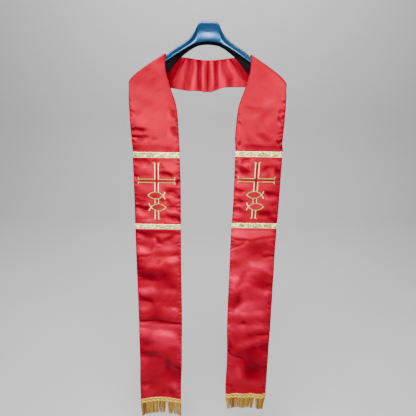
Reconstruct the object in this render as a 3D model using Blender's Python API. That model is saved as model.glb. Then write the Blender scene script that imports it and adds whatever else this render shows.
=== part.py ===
"""A clerical stole hung on a wide plastic hanger, modelled at rest, as it hangs."""

import math

import bmesh
import bpy

# Driving dimensions, in metres. The origin is the middle of the hanger's flat neck top.
MM = 0.001
WALL = 2.0 * MM
SEAM_GAP = 0.3 * MM
LAY_GAP = 0.5 * MM
NECK_TOP_EDGE = -0.0945
NECK_LOW_EDGE = -0.1790
NECK_DEPTH = 0.0225
WRAP_RADIUS = 0.0140
WRAP_ROWS = 8
CROSS_CELLS = 14
ROW_STEP = 0.021
PANEL_DEPTH = -0.045
LEVEL_FROM = -0.326

# Named heights of each panel: top of the two bands, centre of the emblem's bar, hem.
HEIGHTS = {
    "left": {"upper_band": -0.3395, "lower_band": -0.5480, "bar": -0.4200, "hem": -1.1560},
    "right": {"upper_band": -0.3335, "lower_band": -0.5410, "bar": -0.4140, "hem": -1.1320},
}
BAND_HEIGHT = 0.0158
BAND_THICK = 1.0 * MM

# Rows of the free edges below the shoulder: height, inner edge, outer edge.
EDGES = {
    "left": (
        (-0.250, 0.0790, 0.2065), (-0.330, 0.0748, 0.2050), (-0.445, 0.0720, 0.2044),
        (-0.625, 0.0720, 0.2050), (-0.860, 0.0700, 0.2042), (-1.005, 0.0708, 0.2052),
        (-1.110, 0.0738, 0.2078), (-1.160, 0.0738, 0.2074),
    ),
    "right": (
        (-0.250, 0.0795, 0.2105), (-0.330, 0.0783, 0.2090), (-0.445, 0.0780, 0.2080),
        (-0.625, 0.0725, 0.2050), (-0.860, 0.0700, 0.2055), (-1.005, 0.0730, 0.2046),
        (-1.110, 0.0708, 0.2042), (-1.140, 0.0720, 0.2045),
    ),
}

# Neck rows, from the centre back to the arm: x, depth and height of the top edge, x and depth of
# the low edge, then its height on the left half and on the right half.
NECK_ROWS = (
    (0.00015, NECK_DEPTH, NECK_TOP_EDGE, 0.00015, 0.0245, NECK_LOW_EDGE, NECK_LOW_EDGE),
    (0.0130, 0.0222, -0.0942, 0.0105, 0.0243, -0.1790, -0.1785),
    (0.0260, 0.0218, -0.0930, 0.0230, 0.0240, -0.1768, -0.1740),
    (0.0400, 0.0210, -0.0912, 0.0380, 0.0236, -0.1766, -0.1680),
    (0.0560, 0.0196, -0.0892, 0.0550, 0.0230, -0.1764, -0.1655),
    (0.0720, 0.0174, -0.0876, 0.0760, 0.0220, -0.1738, -0.1650),
    (0.0870, 0.0130, -0.0880, 0.1010, 0.0195, -0.1700, -0.1645),
    (0.1000, 0.0065, -0.0915, 0.1310, 0.0130, -0.1680, -0.1655),
    (0.1080, 0.0005, -0.0945, 0.1610, 0.0030, -0.1682, -0.1675),
    (0.1110, -0.0040, -0.0962, 0.1880, -0.0110, -0.1690, -0.1690),
)

# The fold over the arm: the inner end, the shoulder corner that rounds it, the outer end.
FOLD_INNER = (0.1120, -0.0820)
FOLD_CORNER = (0.2020, -0.1400)
FOLD_OUTER = (0.2065, -0.1570)

# Front rows under the fold: inner edge x and height, outer edge x and height, share of corner left.
SHOULDER_ROWS = (
    (0.1124, -0.1080, 0.2080, -0.1800, 0.55),
    (0.1115, -0.1210, 0.2085, -0.1940, 0.30),
    (0.1086, -0.1350, 0.2088, -0.2080, 0.12),
    (0.1042, -0.1500, 0.2088, -0.2220, 0.04),
    (0.0978, -0.1720, 0.2086, -0.2380, 0.0),
    (0.0902, -0.1925, 0.2084, -0.2530, 0.0),
    (0.0838, -0.2140, 0.2080, -0.2690, 0.0),
    (0.0802, -0.2390, 0.2076, -0.2850, 0.0),
    (0.0780, -0.2680, 0.2070, -0.2990, 0.0),
    (0.0766, -0.2960, 0.2062, -0.3110, 0.0),
)

# Soft cross folds of each panel: height, middle along the width, half height, half width, rise, slope.
FOLDS = {
    "left": (
        (-0.245, 0.80, 0.012, 0.30, -0.9, 0.10), (-0.288, 0.78, 0.010, 0.32, -1.2, -0.08),
        (-0.592, 0.45, 0.012, 0.34, 1.3, -0.25), (-0.640, 0.40, 0.020, 0.50, -1.6, 0.05),
        (-0.690, 0.60, 0.018, 0.60, 1.7, 0.03), (-0.780, 0.60, 0.030, 0.50, -1.8, 0.08),
        (-0.872, 0.50, 0.007, 0.90, 2.3, -0.09), (-0.905, 0.50, 0.014, 0.80, -1.7, -0.28),
        (-0.985, 0.62, 0.020, 0.40, 1.8, 0.10), (-1.070, 0.45, 0.022, 0.50, -1.5, -0.10),
    ),
    "right": (
        (-0.232, 0.50, 0.012, 0.50, 1.0, 0.04), (-0.300, 0.62, 0.012, 0.40, -1.2, -0.12),
        (-0.588, 0.50, 0.010, 0.80, 1.9, 0.05), (-0.640, 0.55, 0.016, 0.50, -1.5, -0.10),
        (-0.690, 0.55, 0.014, 0.50, -1.8, -0.30), (-0.745, 0.50, 0.020, 0.60, 1.9, 0.32),
        (-0.872, 0.50, 0.018, 0.80, -2.0, 0.02), (-0.925, 0.65, 0.012, 0.45, 1.5, -0.10),
        (-1.000, 0.40, 0.020, 0.50, -1.7, 0.12), (-1.080, 0.60, 0.020, 0.50, 1.3, -0.08),
    ),
}
HEM_SET_BACK = {"left": 0.0135, "right": 0.0020}
HEM_BOW_FROM = -0.70
EDGE_ROLL = 1.6 * MM

# Emblem, from its own axis and the centre of its bar.
EMBLEM_AXIS = 0.1398
THREAD_WIDTH = 4.3 * MM
THREAD_HEIGHT = 1.0 * MM
BAR_HALF_SPAN = 0.0530
BAR_HALF_GAP = 0.0057
POST_HALF_GAP = 0.0057
LOW_POST_HALF_GAP = 0.0050
POST_TOP = 0.0505
SERIF = 0.0042
FISH_HEIGHT = 0.0107
FISH_BODY = 0.0445
FISH_TAIL = 0.0102
FISH_ARC_STEPS = 12
FISH = {
    "upper": {"drop": -0.0423, "middle": -0.0032, "heading": -1.0},
    "lower": {"drop": -0.0772, "middle": 0.0048, "heading": 1.0},
}
FOOT_DROP = -0.1125

# Fringe.
HEAD_HEIGHT = 0.0165
HEAD_THICK = 2.6 * MM
STRANDS = 84
STRAND_RADIUS = 0.62 * MM
STRAND_LENGTH = 0.0450
END_STRAND_SHARE = 0.12
STRAND_ROOT = 3.0 * MM

# Hanger: rows of half width from the middle, top, front lip, back lip, black web's low edge.
HANGER_ROWS = (
    (0.0000, 0.0000, -0.0490, -0.0520, -0.0572), (0.0110, 0.0000, -0.0496, -0.0522, -0.0578),
    (0.0200, 0.0000, -0.0508, -0.0530, -0.0592), (0.0260, -0.0040, -0.0520, -0.0542, -0.0605),
    (0.0300, -0.0095, -0.0532, -0.0556, -0.0620), (0.0335, -0.0180, -0.0546, -0.0572, -0.0636),
    (0.0385, -0.0275, -0.0572, -0.0596, -0.0662), (0.0460, -0.0382, -0.0608, -0.0636, -0.0705),
    (0.0560, -0.0468, -0.0662, -0.0690, -0.0775), (0.0680, -0.0556, -0.0732, -0.0760, -0.0870),
    (0.0800, -0.0632, -0.0806, -0.0836, -0.0985), (0.0920, -0.0708, -0.0884, -0.0910, -0.1120),
    (0.1030, -0.0795, -0.0956, -0.0985, -0.1265), (0.1120, -0.0868, -0.1018, -0.1045, -0.1340),
    (0.1260, -0.0962, -0.1115, -0.1140, -0.1390), (0.1430, -0.1074, -0.1220, -0.1245, -0.1450),
    (0.1600, -0.1184, -0.1328, -0.1350, -0.1510), (0.1760, -0.1288, -0.1425, -0.1445, -0.1560),
    (0.1890, -0.1380, -0.1500, -0.1515, -0.1590), (0.1970, -0.1462, -0.1555, -0.1565, -0.1620),
)
ARM_END_DEPTH = -0.040
ARM_END_X = 0.205
ARM_CURVE = 1.15
HANGER_HALF_DEPTH = (0.0130, 0.0080)
HANGER_WALL = 2.4 * MM
WEB_HALF = 2.2 * MM
WEB_TOP_DROP = 2.75 * MM

SIDES = {"left": -1.0, "right": 1.0}


def arm_depth(x):
    """Depth of the arm's middle line: it curves forward to its ends."""
    return ARM_END_DEPTH * (abs(x) / ARM_END_X) ** ARM_CURVE


def between(rows, column, at):
    """A row's named value at a height, eased between the rows on either side."""
    for low, high in zip(rows, rows[1:]):
        if at >= high[0]:
            share = min(1.0, max(0.0, (at - low[0]) / (high[0] - low[0])))
            share = share * share * (3.0 - 2.0 * share)
            return low[column] + (high[column] - low[column]) * share
    return rows[-1][column]


def smooth(value, start, end):
    share = min(1.0, max(0.0, (value - start) / (end - start)))
    return share * share * (3.0 - 2.0 * share)


def relief(side, across, height):
    """How far the cloth stands forward of its plane, in metres: cross folds, hem bow, rolled edges."""
    rise = 0.0
    for middle, centre, half_height, half_width, top, slope in FOLDS[side]:
        line = middle + slope * (across - centre) * 0.13
        rise += top * MM * math.exp(
            -(((height - line) / half_height) ** 2) - ((across - centre) / half_width) ** 2
        )
    bow = 1.0 - (2.0 * across - 1.0) ** 2
    fall = smooth(-height, -HEM_BOW_FROM, -HEIGHTS[side]["hem"])
    ripple = 0.0022 * math.sin(5.2 * math.pi * across + 0.6) * fall if side == "right" else 0.0
    rolled = EDGE_ROLL * abs(2.0 * across - 1.0) ** 6
    return rise - HEM_SET_BACK[side] * bow * fall + ripple - rolled


def panel_point(side, across, height):
    """A point of the hanging panel's middle surface, where its rows are level."""
    inner, outer = between(EDGES[side], 1, height), between(EDGES[side], 2, height)
    return (
        inner + (outer - inner) * across,
        PANEL_DEPTH - relief(side, across, height),
        height,
    )


def fold_line(across):
    """The line along which the cloth folds over the arm."""
    u, v = across, 1.0 - across
    spots = []
    for a, k, b in zip(FOLD_INNER, FOLD_CORNER, FOLD_OUTER):
        near = a + (k - a) * 0.62
        spots.append(a * v**3 + 3 * near * u * v * v + 3 * k * u * u * v + b * u**3)
    return spots[0], arm_depth(spots[0]), spots[1]


def shoulder_point(side, row, across):
    """A point of a front row that turns from the slope of the arm to level."""
    inner_x, inner_z, outer_x, outer_z, corner = row
    bulge = corner * 4.0 * across**3 * (1.0 - across)
    x = inner_x + (outer_x - inner_x) * across + 0.012 * bulge
    z = inner_z + (outer_z - inner_z) * across + 0.022 * bulge
    fold = fold_line(across)
    share = smooth(-z, -fold[2], -LEVEL_FROM)
    start = fold[1] - WRAP_RADIUS
    return x, start + (PANEL_DEPTH - start) * share - relief(side, across, z), z


def neck_fold(across, x):
    """Soft upright folds of the neck piece beside its seam, and its draw over the arm."""
    near = math.exp(-((x - 0.0215) / 0.0060) ** 2) * (1.6 - 0.6 * across)
    second = math.exp(-((x - 0.0460) / 0.0085) ** 2) * (0.4 + 1.0 * across)
    third = math.exp(-((x - 0.0640) / 0.0070) ** 2) * (1.1 * across)
    return (2.2 * near - 1.8 * second + 1.6 * third) * MM


def stole_rows(side):
    """Rows of points of the half's middle surface, from the centre back seam to the hem."""
    shares = [i / CROSS_CELLS for i in range(CROSS_CELLS + 1)]
    rows = []
    for top_x, top_y, top_z, low_x, low_y, *low_heights in NECK_ROWS:
        low_z = low_heights[list(SIDES).index(side)]
        row = []
        for s in shares:
            x = top_x + (low_x - top_x) * s
            sag = 0.0015 * math.sin(math.pi * s)
            y = top_y + (low_y - top_y) * s + sag + neck_fold(s, x)
            row.append((x, y, top_z + (low_z - top_z) * s))
        rows.append(row)
    for i in range(WRAP_ROWS):
        turn = math.pi * i / (WRAP_ROWS - 1)
        row = []
        for s in shares:
            x, y, z = fold_line(s)
            radius = WRAP_RADIUS * (1.0 - 0.12 * s)
            row.append((x, y + radius * math.cos(turn), z + radius * (math.sin(turn) - 1.0)))
        rows.append(row)
    for row in SHOULDER_ROWS:
        rows.append([shoulder_point(side, row, s) for s in shares])
    hem = HEIGHTS[side]["hem"]
    count = math.ceil((LEVEL_FROM - hem) / ROW_STEP)
    for i in range(count + 1):
        height = LEVEL_FROM + (hem - LEVEL_FROM) * i / count
        rows.append([panel_point(side, s, height) for s in shares])
    return rows


def cross(a, b):
    return (a[1] * b[2] - a[2] * b[1], a[2] * b[0] - a[0] * b[2], a[0] * b[1] - a[1] * b[0])


def normals(rows):
    """Unit normals of a grid of points, from its neighbours each way."""
    found = []
    for i, row in enumerate(rows):
        line = []
        for j in range(len(row)):
            before, after = rows[max(i - 1, 0)][j], rows[min(i + 1, len(rows) - 1)][j]
            near, far = row[max(j - 1, 0)], row[min(j + 1, len(row) - 1)]
            n = cross(
                [p - q for p, q in zip(far, near)], [p - q for p, q in zip(after, before)]
            )
            size = math.sqrt(sum(c * c for c in n))
            line.append(tuple(c / size for c in n))
        found.append(line)
    return found


def wall_mesh(rows, low, high):
    """A closed wall on a grid of points, from one offset along its normals to another."""
    faces_out = normals(rows)
    deep, wide = len(rows), len(rows[0])
    verts = []
    for offset in (low, high):
        for row, line in zip(rows, faces_out):
            for point, normal in zip(row, line):
                verts.append(tuple(p + n * offset for p, n in zip(point, normal)))
    layer = deep * wide
    faces = []
    for i in range(deep - 1):
        for j in range(wide - 1):
            a, b = i * wide + j, i * wide + j + 1
            c, d = b + wide, a + wide
            faces += [(a, b, c, d), (a + layer, d + layer, c + layer, b + layer)]
    ring = list(range(wide))
    ring += [i * wide + wide - 1 for i in range(1, deep)]
    ring += [(deep - 1) * wide + j for j in range(wide - 2, -1, -1)]
    ring += [i * wide for i in range(deep - 2, 0, -1)]
    for a, b in zip(ring, ring[1:] + ring[:1]):
        faces.append((a, a + layer, b + layer, b))
    return verts, faces


def material(name, colour, roughness, metallic=0.0, coat=0.0):
    made = bpy.data.materials.new(name)
    made.use_nodes = True
    shader = made.node_tree.nodes["Principled BSDF"]
    shader.inputs["Base Color"].default_value = (*colour, 1.0)
    shader.inputs["Roughness"].default_value = roughness
    shader.inputs["Metallic"].default_value = metallic
    shader.inputs["Coat Weight"].default_value = coat
    return made


def add_solid(name, verts, faces, look, collection):
    """A named node with a closed mesh whose faces point out."""
    mesh = bpy.data.meshes.new(name)
    mesh.from_pydata(verts, [], faces)
    work = bmesh.new()
    work.from_mesh(mesh)
    bmesh.ops.triangulate(work, faces=work.faces[:])
    bmesh.ops.recalc_face_normals(work, faces=work.faces[:])
    work.to_mesh(mesh)
    work.free()
    mesh.materials.append(look)
    made = bpy.data.objects.new(name, mesh)
    collection.objects.link(made)
    return made


def mirrored(rows, sign):
    return [[(sign * x, y, z) for x, y, z in row] for row in rows]


def strip_solid(side, line):
    """A raised thread line on the panel: line holds x and height from the emblem's middle."""
    sign, bar = SIDES[side], HEIGHTS[side]["bar"]
    axis = sign * EMBLEM_AXIS
    half = THREAD_WIDTH / 2.0
    sections = []
    for i, (x, z) in enumerate(line):
        before, after = line[max(i - 1, 0)], line[min(i + 1, len(line) - 1)]
        ahead = (after[0] - x, after[1] - z) if i < len(line) - 1 else None
        behind = (x - before[0], z - before[1]) if i else None
        turns = []
        for way in (behind, ahead):
            if way:
                size = math.hypot(*way)
                turns.append((-way[1] / size, way[0] / size))
        n = [sum(t[k] for t in turns) / len(turns) for k in (0, 1)]
        scale = half / (n[0] ** 2 + n[1] ** 2)
        if not behind:
            x, z = x - ahead[0] / math.hypot(*ahead) * half, z - ahead[1] / math.hypot(*ahead) * half
        if not ahead:
            x, z = x + behind[0] / math.hypot(*behind) * half, z + behind[1] / math.hypot(*behind) * half
        sections.append(((x + n[0] * scale, z + n[1] * scale), (x - n[0] * scale, z - n[1] * scale)))
    verts = []
    for pair in sections:
        ends = []
        for x, z in pair:
            height = bar + z
            inner, outer = between(EDGES[side], 1, height), between(EDGES[side], 2, height)
            share = (sign * (axis + x) - inner) / (outer - inner)
            y = panel_point(side, share, height)[1] - WALL / 2.0 - LAY_GAP
            ends.append((axis + x, y, height))
        (ax, ay, az), (bx, by, bz) = ends
        verts += [ends[0], ends[1], (bx, by - THREAD_HEIGHT, bz), (ax, ay - THREAD_HEIGHT, az)]
    faces = [(0, 1, 2, 3)]
    for i in range(len(sections) - 1):
        base = 4 * i
        for k in range(4):
            after = (k + 1) % 4
            faces.append((base + k, base + 4 + k, base + 4 + after, base + after))
    end = 4 * (len(sections) - 1)
    faces.append((end + 3, end + 2, end + 1, end))
    return verts, faces


def divided(line, step=0.008):
    """The same line with points no further apart than step, so that it follows the cloth."""
    out = [line[0]]
    for a, b in zip(line, line[1:]):
        count = max(1, math.ceil(math.dist(a, b) / step))
        out += [tuple(p + (q - p) * k / count for p, q in zip(a, b)) for k in range(1, count + 1)]
    return out


def fish_arcs(fish):
    """The two crossing arcs of a fish: each runs from the snout over the body to its tail end."""
    half = FISH_BODY / 2.0
    radius = (half**2 + FISH_HEIGHT**2) / (2.0 * FISH_HEIGHT)
    centre = FISH_HEIGHT - radius
    start = math.atan2(-centre, -half)
    end = math.asin((-FISH_TAIL - centre) / radius)
    lines = []
    for flip in (1.0, -1.0):
        line = []
        for i in range(FISH_ARC_STEPS + 1):
            turn = start + (end - start) * i / FISH_ARC_STEPS
            x = -fish["heading"] * radius * math.cos(turn) + fish["middle"]
            z = flip * (centre + radius * math.sin(turn)) + fish["drop"]
            line.append((x, z))
        lines.append(line)
    return lines


def emblem_lines():
    """The thread lines of the emblem, by piece: two upper corners, and all that joins below."""
    upper = {}
    for name, way in (("upper_a", -1.0), ("upper_b", 1.0)):
        upper[name] = [divided([
            (way * (POST_HALF_GAP + SERIF), POST_TOP), (way * POST_HALF_GAP, POST_TOP),
            (way * POST_HALF_GAP, BAR_HALF_GAP), (way * BAR_HALF_SPAN, BAR_HALF_GAP),
            (way * BAR_HALF_SPAN, BAR_HALF_GAP + SERIF),
        ])]
    top_of = {name: fish["drop"] + FISH_HEIGHT for name, fish in FISH.items()}
    low_of = {name: fish["drop"] - FISH_HEIGHT for name, fish in FISH.items()}
    low = []
    for way in (-1.0, 1.0):
        post = way * LOW_POST_HALF_GAP
        low.append(divided([
            (way * BAR_HALF_SPAN, -BAR_HALF_GAP - SERIF), (way * BAR_HALF_SPAN, -BAR_HALF_GAP),
            (post, -BAR_HALF_GAP), (post, top_of["upper"]),
        ]))
        low.append(divided([(post, low_of["upper"]), (post, top_of["lower"])]))
        low.append(divided([
            (post, low_of["lower"]), (post, FOOT_DROP), (post + way * SERIF, FOOT_DROP),
        ]))
    for fish in FISH.values():
        low += fish_arcs(fish)
    return {**upper, "lower": low}


def joined(name, solids, look, collection):
    """One closed body made of solids that overlap."""
    base = add_solid(name, *solids[0], look, collection)
    for i, (verts, faces) in enumerate(solids[1:]):
        tool = add_solid(f"{name}_tool_{i}", verts, faces, look, collection)
        cut = base.modifiers.new("join", "BOOLEAN")
        cut.operation, cut.solver, cut.object = "UNION", "MANIFOLD", tool
        bpy.context.view_layer.update()
        shape = bpy.data.meshes.new_from_object(
            base.evaluated_get(bpy.context.evaluated_depsgraph_get())
        )
        base.modifiers.clear()
        base.data = shape
        bpy.data.objects.remove(tool)
    return base


def strand_meshes(spots, drop, length, radius):
    """Hanging strands of three sides as one list of points and faces: spots hold x and depth."""
    verts, faces = [], []
    rings = ((0.0, 0.8), (0.45, 1.0), (1.0, 0.75))
    for n, (x, y) in enumerate(spots):
        base = len(verts)
        sway = 0.5 * MM * math.sin(2.4 * n)
        from_middle = abs(2.0 * n / (len(spots) - 1) - 1.0)
        reach = length * (1.0 + 0.035 * math.sin(1.7 * n) + END_STRAND_SHARE * from_middle**4)
        for share, size in rings:
            for k in range(3):
                turn = 2.0 * math.pi * k / 3.0 + 0.5
                verts.append((
                    x + radius * size * math.cos(turn),
                    y + radius * size * math.sin(turn) + sway * share,
                    drop - reach * share,
                ))
        for i in range(len(rings) - 1):
            for k in range(3):
                a, b = base + 3 * i + k, base + 3 * i + (k + 1) % 3
                faces.append((a, b, b + 3, a + 3))
        end = base + 3 * (len(rings) - 1)
        faces += [(base + 2, base + 1, base), (end, end + 1, end + 2)]
    return verts, faces


def add_fringe(side, look, collection):
    """The braid under the hem, with the strands fused to its lower edge."""
    sign, hem = SIDES[side], HEIGHTS[side]["hem"]
    head_top, head_low = hem - SEAM_GAP, hem - SEAM_GAP - HEAD_HEIGHT
    shares = [i / 20.0 for i in range(21)]
    rows = []
    for height in (head_top, (head_top + head_low) / 2.0, head_low):
        row = []
        for s in shares:
            x, y, _ = panel_point(side, s, hem)
            row.append((sign * x, y, height))
        rows.append(row)
    head = wall_mesh(rows, -HEAD_THICK / 2.0, HEAD_THICK / 2.0)
    spots = []
    for n in range(STRANDS):
        x, y, _ = panel_point(side, 0.008 + 0.984 * n / (STRANDS - 1), hem)
        spots.append((sign * x, y + 0.45 * MM * (-1) ** n))
    strands = strand_meshes(spots, head_low + STRAND_ROOT, STRAND_LENGTH, STRAND_RADIUS)
    return joined(f"fringe_{side}", [head, strands], look, collection)


def band_rows(side, top):
    """Points across the panel where a woven band lies, on the panel's middle surface."""
    shares = [i / CROSS_CELLS for i in range(CROSS_CELLS + 1)]
    heights = [top - BAND_HEIGHT * k / 2.0 for k in range(3)]
    return [[panel_point(side, s, height) for s in shares] for height in heights]


def hanger_profile(row):
    """The channel's section at one place: front lip, flat-topped crown, back lip, then its inside."""
    x, top, front, back, _ = row
    share = min(1.0, x / ARM_END_X)
    half = HANGER_HALF_DEPTH[0] + (HANGER_HALF_DEPTH[1] - HANGER_HALF_DEPTH[0]) * share
    middle = arm_depth(x)
    crown = min(0.008, (top - front) * 0.45)
    outside = [
        (-half, front), (-half, top - crown), (-0.86 * half, top - 0.42 * crown),
        (-0.50 * half, top), (0.50 * half, top), (0.86 * half, top - 0.42 * crown),
        (half, top - crown), (half, back),
    ]
    inside = [
        (half - HANGER_WALL, back), (half - HANGER_WALL, top - crown - HANGER_WALL),
        (0.45 * half, top - HANGER_WALL), (-0.45 * half, top - HANGER_WALL),
        (-half + HANGER_WALL, top - crown - HANGER_WALL), (-half + HANGER_WALL, front),
    ]
    return [(middle + y, z) for y, z in outside + inside]


def web_profile(row):
    """The dark web's section: a plate inside the channel that hangs below its lips."""
    x, top, _, _, low = row
    middle = arm_depth(x)
    return [
        (middle - WEB_HALF, low), (middle - WEB_HALF, top - WEB_TOP_DROP),
        (middle + WEB_HALF, top - WEB_TOP_DROP), (middle + WEB_HALF, low),
    ]


def swept(profile):
    """A closed body along the hanger, through the profile's section at each row on both sides."""
    both = [(-1.0, row) for row in reversed(HANGER_ROWS[1:])] + [(1.0, row) for row in HANGER_ROWS]
    sections = [[(sign * row[0], y, z) for y, z in profile(row)] for sign, row in both]
    size = len(sections[0])
    verts = [point for section in sections for point in section]
    faces = [tuple(range(size)), tuple(reversed(range(len(verts) - size, len(verts))))]
    for i in range(len(sections) - 1):
        for k in range(size):
            a, b = i * size + k, i * size + (k + 1) % size
            faces.append((a, a + size, b + size, b))
    return verts, faces


def main():
    for obj in list(bpy.data.objects):
        bpy.data.objects.remove(obj)
    stole = bpy.data.collections.new("clerical_stole_on_hanger")
    bpy.context.scene.collection.children.link(stole)
    for side, sign in SIDES.items():
        satin = material(f"red_satin_{side}", (0.62, 0.005, 0.03), 0.38)
        add_solid(
            f"stole_half_{side}",
            *wall_mesh(mirrored(stole_rows(side), sign), -WALL / 2.0, WALL / 2.0),
            satin, stole,
        )
        forward = -sign
        for place in ("upper", "lower"):
            rows = mirrored(band_rows(side, HEIGHTS[side][f"{place}_band"]), sign)
            near = forward * (WALL / 2.0 + LAY_GAP)
            add_solid(
                f"band_{place}_{side}",
                *wall_mesh(rows, near, near + forward * BAND_THICK),
                material(f"gold_braid_{place}_{side}", (0.80, 0.70, 0.36), 0.35, 0.6), stole,
            )
        for piece, lines in emblem_lines().items():
            joined(
                f"emblem_{side}_{piece}",
                [strip_solid(side, line) for line in lines],
                material(f"gold_thread_{side}_{piece}", (0.85, 0.74, 0.30), 0.4, 0.3), stole,
            )
        add_fringe(side, material(f"gold_fringe_{side}", (0.66, 0.38, 0.06), 0.5), stole)
    add_solid("hanger_shell", *swept(hanger_profile), material(
        "blue_plastic", (0.02, 0.16, 0.34), 0.25, 0.5, 0.5), stole)
    add_solid("hanger_web", *swept(web_profile), material(
        "black_plastic", (0.01, 0.01, 0.01), 0.4), stole)


main()
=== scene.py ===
"""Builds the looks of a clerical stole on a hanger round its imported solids, as Blender operators."""

import math

import bmesh
import bpy
import numpy as np
from bpy.props import FloatProperty, FloatVectorProperty, IntProperty, PointerProperty
from mathutils import Matrix


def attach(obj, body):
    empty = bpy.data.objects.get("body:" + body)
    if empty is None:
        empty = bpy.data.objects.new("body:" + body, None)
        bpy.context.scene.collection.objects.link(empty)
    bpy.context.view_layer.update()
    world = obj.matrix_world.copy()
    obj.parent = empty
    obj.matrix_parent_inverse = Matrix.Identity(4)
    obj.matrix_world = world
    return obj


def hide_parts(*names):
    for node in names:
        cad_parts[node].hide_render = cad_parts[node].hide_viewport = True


bl_info = {
    "name": "Clerical stole on a hanger",
    "version": (1, 0, 0),
    "blender": (4, 5, 0),
    "location": "View3D > Sidebar > Stole",
    "description": "Satin stole with gold bands, embroidery and fringe, on a plastic hanger",
    "category": "Object",
}

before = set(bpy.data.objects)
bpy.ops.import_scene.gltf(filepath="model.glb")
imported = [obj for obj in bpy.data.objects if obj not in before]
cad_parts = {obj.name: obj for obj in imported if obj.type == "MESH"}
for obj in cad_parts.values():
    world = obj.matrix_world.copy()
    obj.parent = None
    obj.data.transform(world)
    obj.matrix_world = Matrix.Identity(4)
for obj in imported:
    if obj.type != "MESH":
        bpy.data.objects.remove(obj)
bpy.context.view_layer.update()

MM = 0.001
SIDES = {"left": -1.0, "right": 1.0}

# Sizes shared with the part's source, in metres.
WALL = 2.0 * MM
# Width of a panel as its lengths are shared out, from edge to edge.
PANEL_WIDTH = 0.133
WRAP_RADIUS = 0.0140
PANEL_DEPTH = -0.045
LEVEL_FROM = -0.326
HEIGHTS = {
    "left": {"upper_band": -0.3395, "lower_band": -0.5480, "bar": -0.4200, "hem": -1.1595},
    "right": {"upper_band": -0.3335, "lower_band": -0.5410, "bar": -0.4140, "hem": -1.1320},
}
BAND_HEIGHT = 0.0151
BAND_THICK = 1.0 * MM
# Where a band's figures stand closer: share across the panel, half width in shares.
DENSE_FIGURES = {
    "left": {"upper": ((0.90, 0.08), (0.64, 0.07)), "lower": ((0.38, 0.05), (0.86, 0.04))},
    "right": {"upper": ((0.15, 0.03), (0.60, 0.03)), "lower": ((0.52, 0.09), (0.22, 0.04), (0.80, 0.03))},
}
# A panel's edges down its length: height, inner x, outer x.
EDGES = {
    "left": (
        (-0.250, 0.0790, 0.2065), (-0.330, 0.0748, 0.2050), (-0.445, 0.0720, 0.2044),
        (-0.625, 0.0720, 0.2050), (-0.860, 0.0700, 0.2042), (-1.005, 0.0708, 0.2052),
        (-1.110, 0.0738, 0.2078), (-1.160, 0.0738, 0.2074),
    ),
    "right": (
        (-0.250, 0.0795, 0.2105), (-0.330, 0.0783, 0.2090), (-0.445, 0.0780, 0.2080),
        (-0.625, 0.0725, 0.2050), (-0.860, 0.0700, 0.2055), (-1.005, 0.0730, 0.2046),
        (-1.110, 0.0708, 0.2042), (-1.140, 0.0720, 0.2045),
    ),
}
# Top edge x, depth, height, low edge x and depth, its height on the left half and on the right half.
NECK_ROWS = (
    (0.00015, 0.0225, -0.0945, 0.00015, 0.0245, -0.1790, -0.1790),
    (0.0130, 0.0222, -0.0942, 0.0105, 0.0243, -0.1790, -0.1785),
    (0.0260, 0.0218, -0.0930, 0.0230, 0.0240, -0.1768, -0.1740),
    (0.0400, 0.0210, -0.0912, 0.0380, 0.0236, -0.1766, -0.1680),
    (0.0560, 0.0196, -0.0892, 0.0550, 0.0230, -0.1764, -0.1655),
    (0.0720, 0.0174, -0.0876, 0.0760, 0.0220, -0.1738, -0.1650),
    (0.0870, 0.0130, -0.0880, 0.1010, 0.0195, -0.1700, -0.1645),
    (0.1000, 0.0065, -0.0915, 0.1310, 0.0130, -0.1680, -0.1655),
    (0.1080, 0.0005, -0.0945, 0.1610, 0.0030, -0.1682, -0.1675),
    (0.1110, -0.0040, -0.0962, 0.1880, -0.0110, -0.1690, -0.1690),
)
# Where the fold over the arm begins, turns and ends: x, height.
FOLD_INNER = (0.1120, -0.0820)
FOLD_CORNER = (0.2020, -0.1400)
FOLD_OUTER = (0.2065, -0.1570)
# Inner x and height, outer x and height, share of the bulge to the corner.
SHOULDER_ROWS = (
    (0.1124, -0.1080, 0.2080, -0.1800, 0.55),
    (0.1115, -0.1210, 0.2085, -0.1940, 0.30),
    (0.1086, -0.1350, 0.2088, -0.2080, 0.12),
    (0.1042, -0.1500, 0.2088, -0.2220, 0.04),
    (0.0978, -0.1720, 0.2086, -0.2380, 0.0),
    (0.0902, -0.1925, 0.2084, -0.2530, 0.0),
    (0.0838, -0.2140, 0.2080, -0.2690, 0.0),
    (0.0802, -0.2390, 0.2076, -0.2850, 0.0),
    (0.0780, -0.2680, 0.2070, -0.2990, 0.0),
    (0.0766, -0.2960, 0.2062, -0.3110, 0.0),
)
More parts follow.
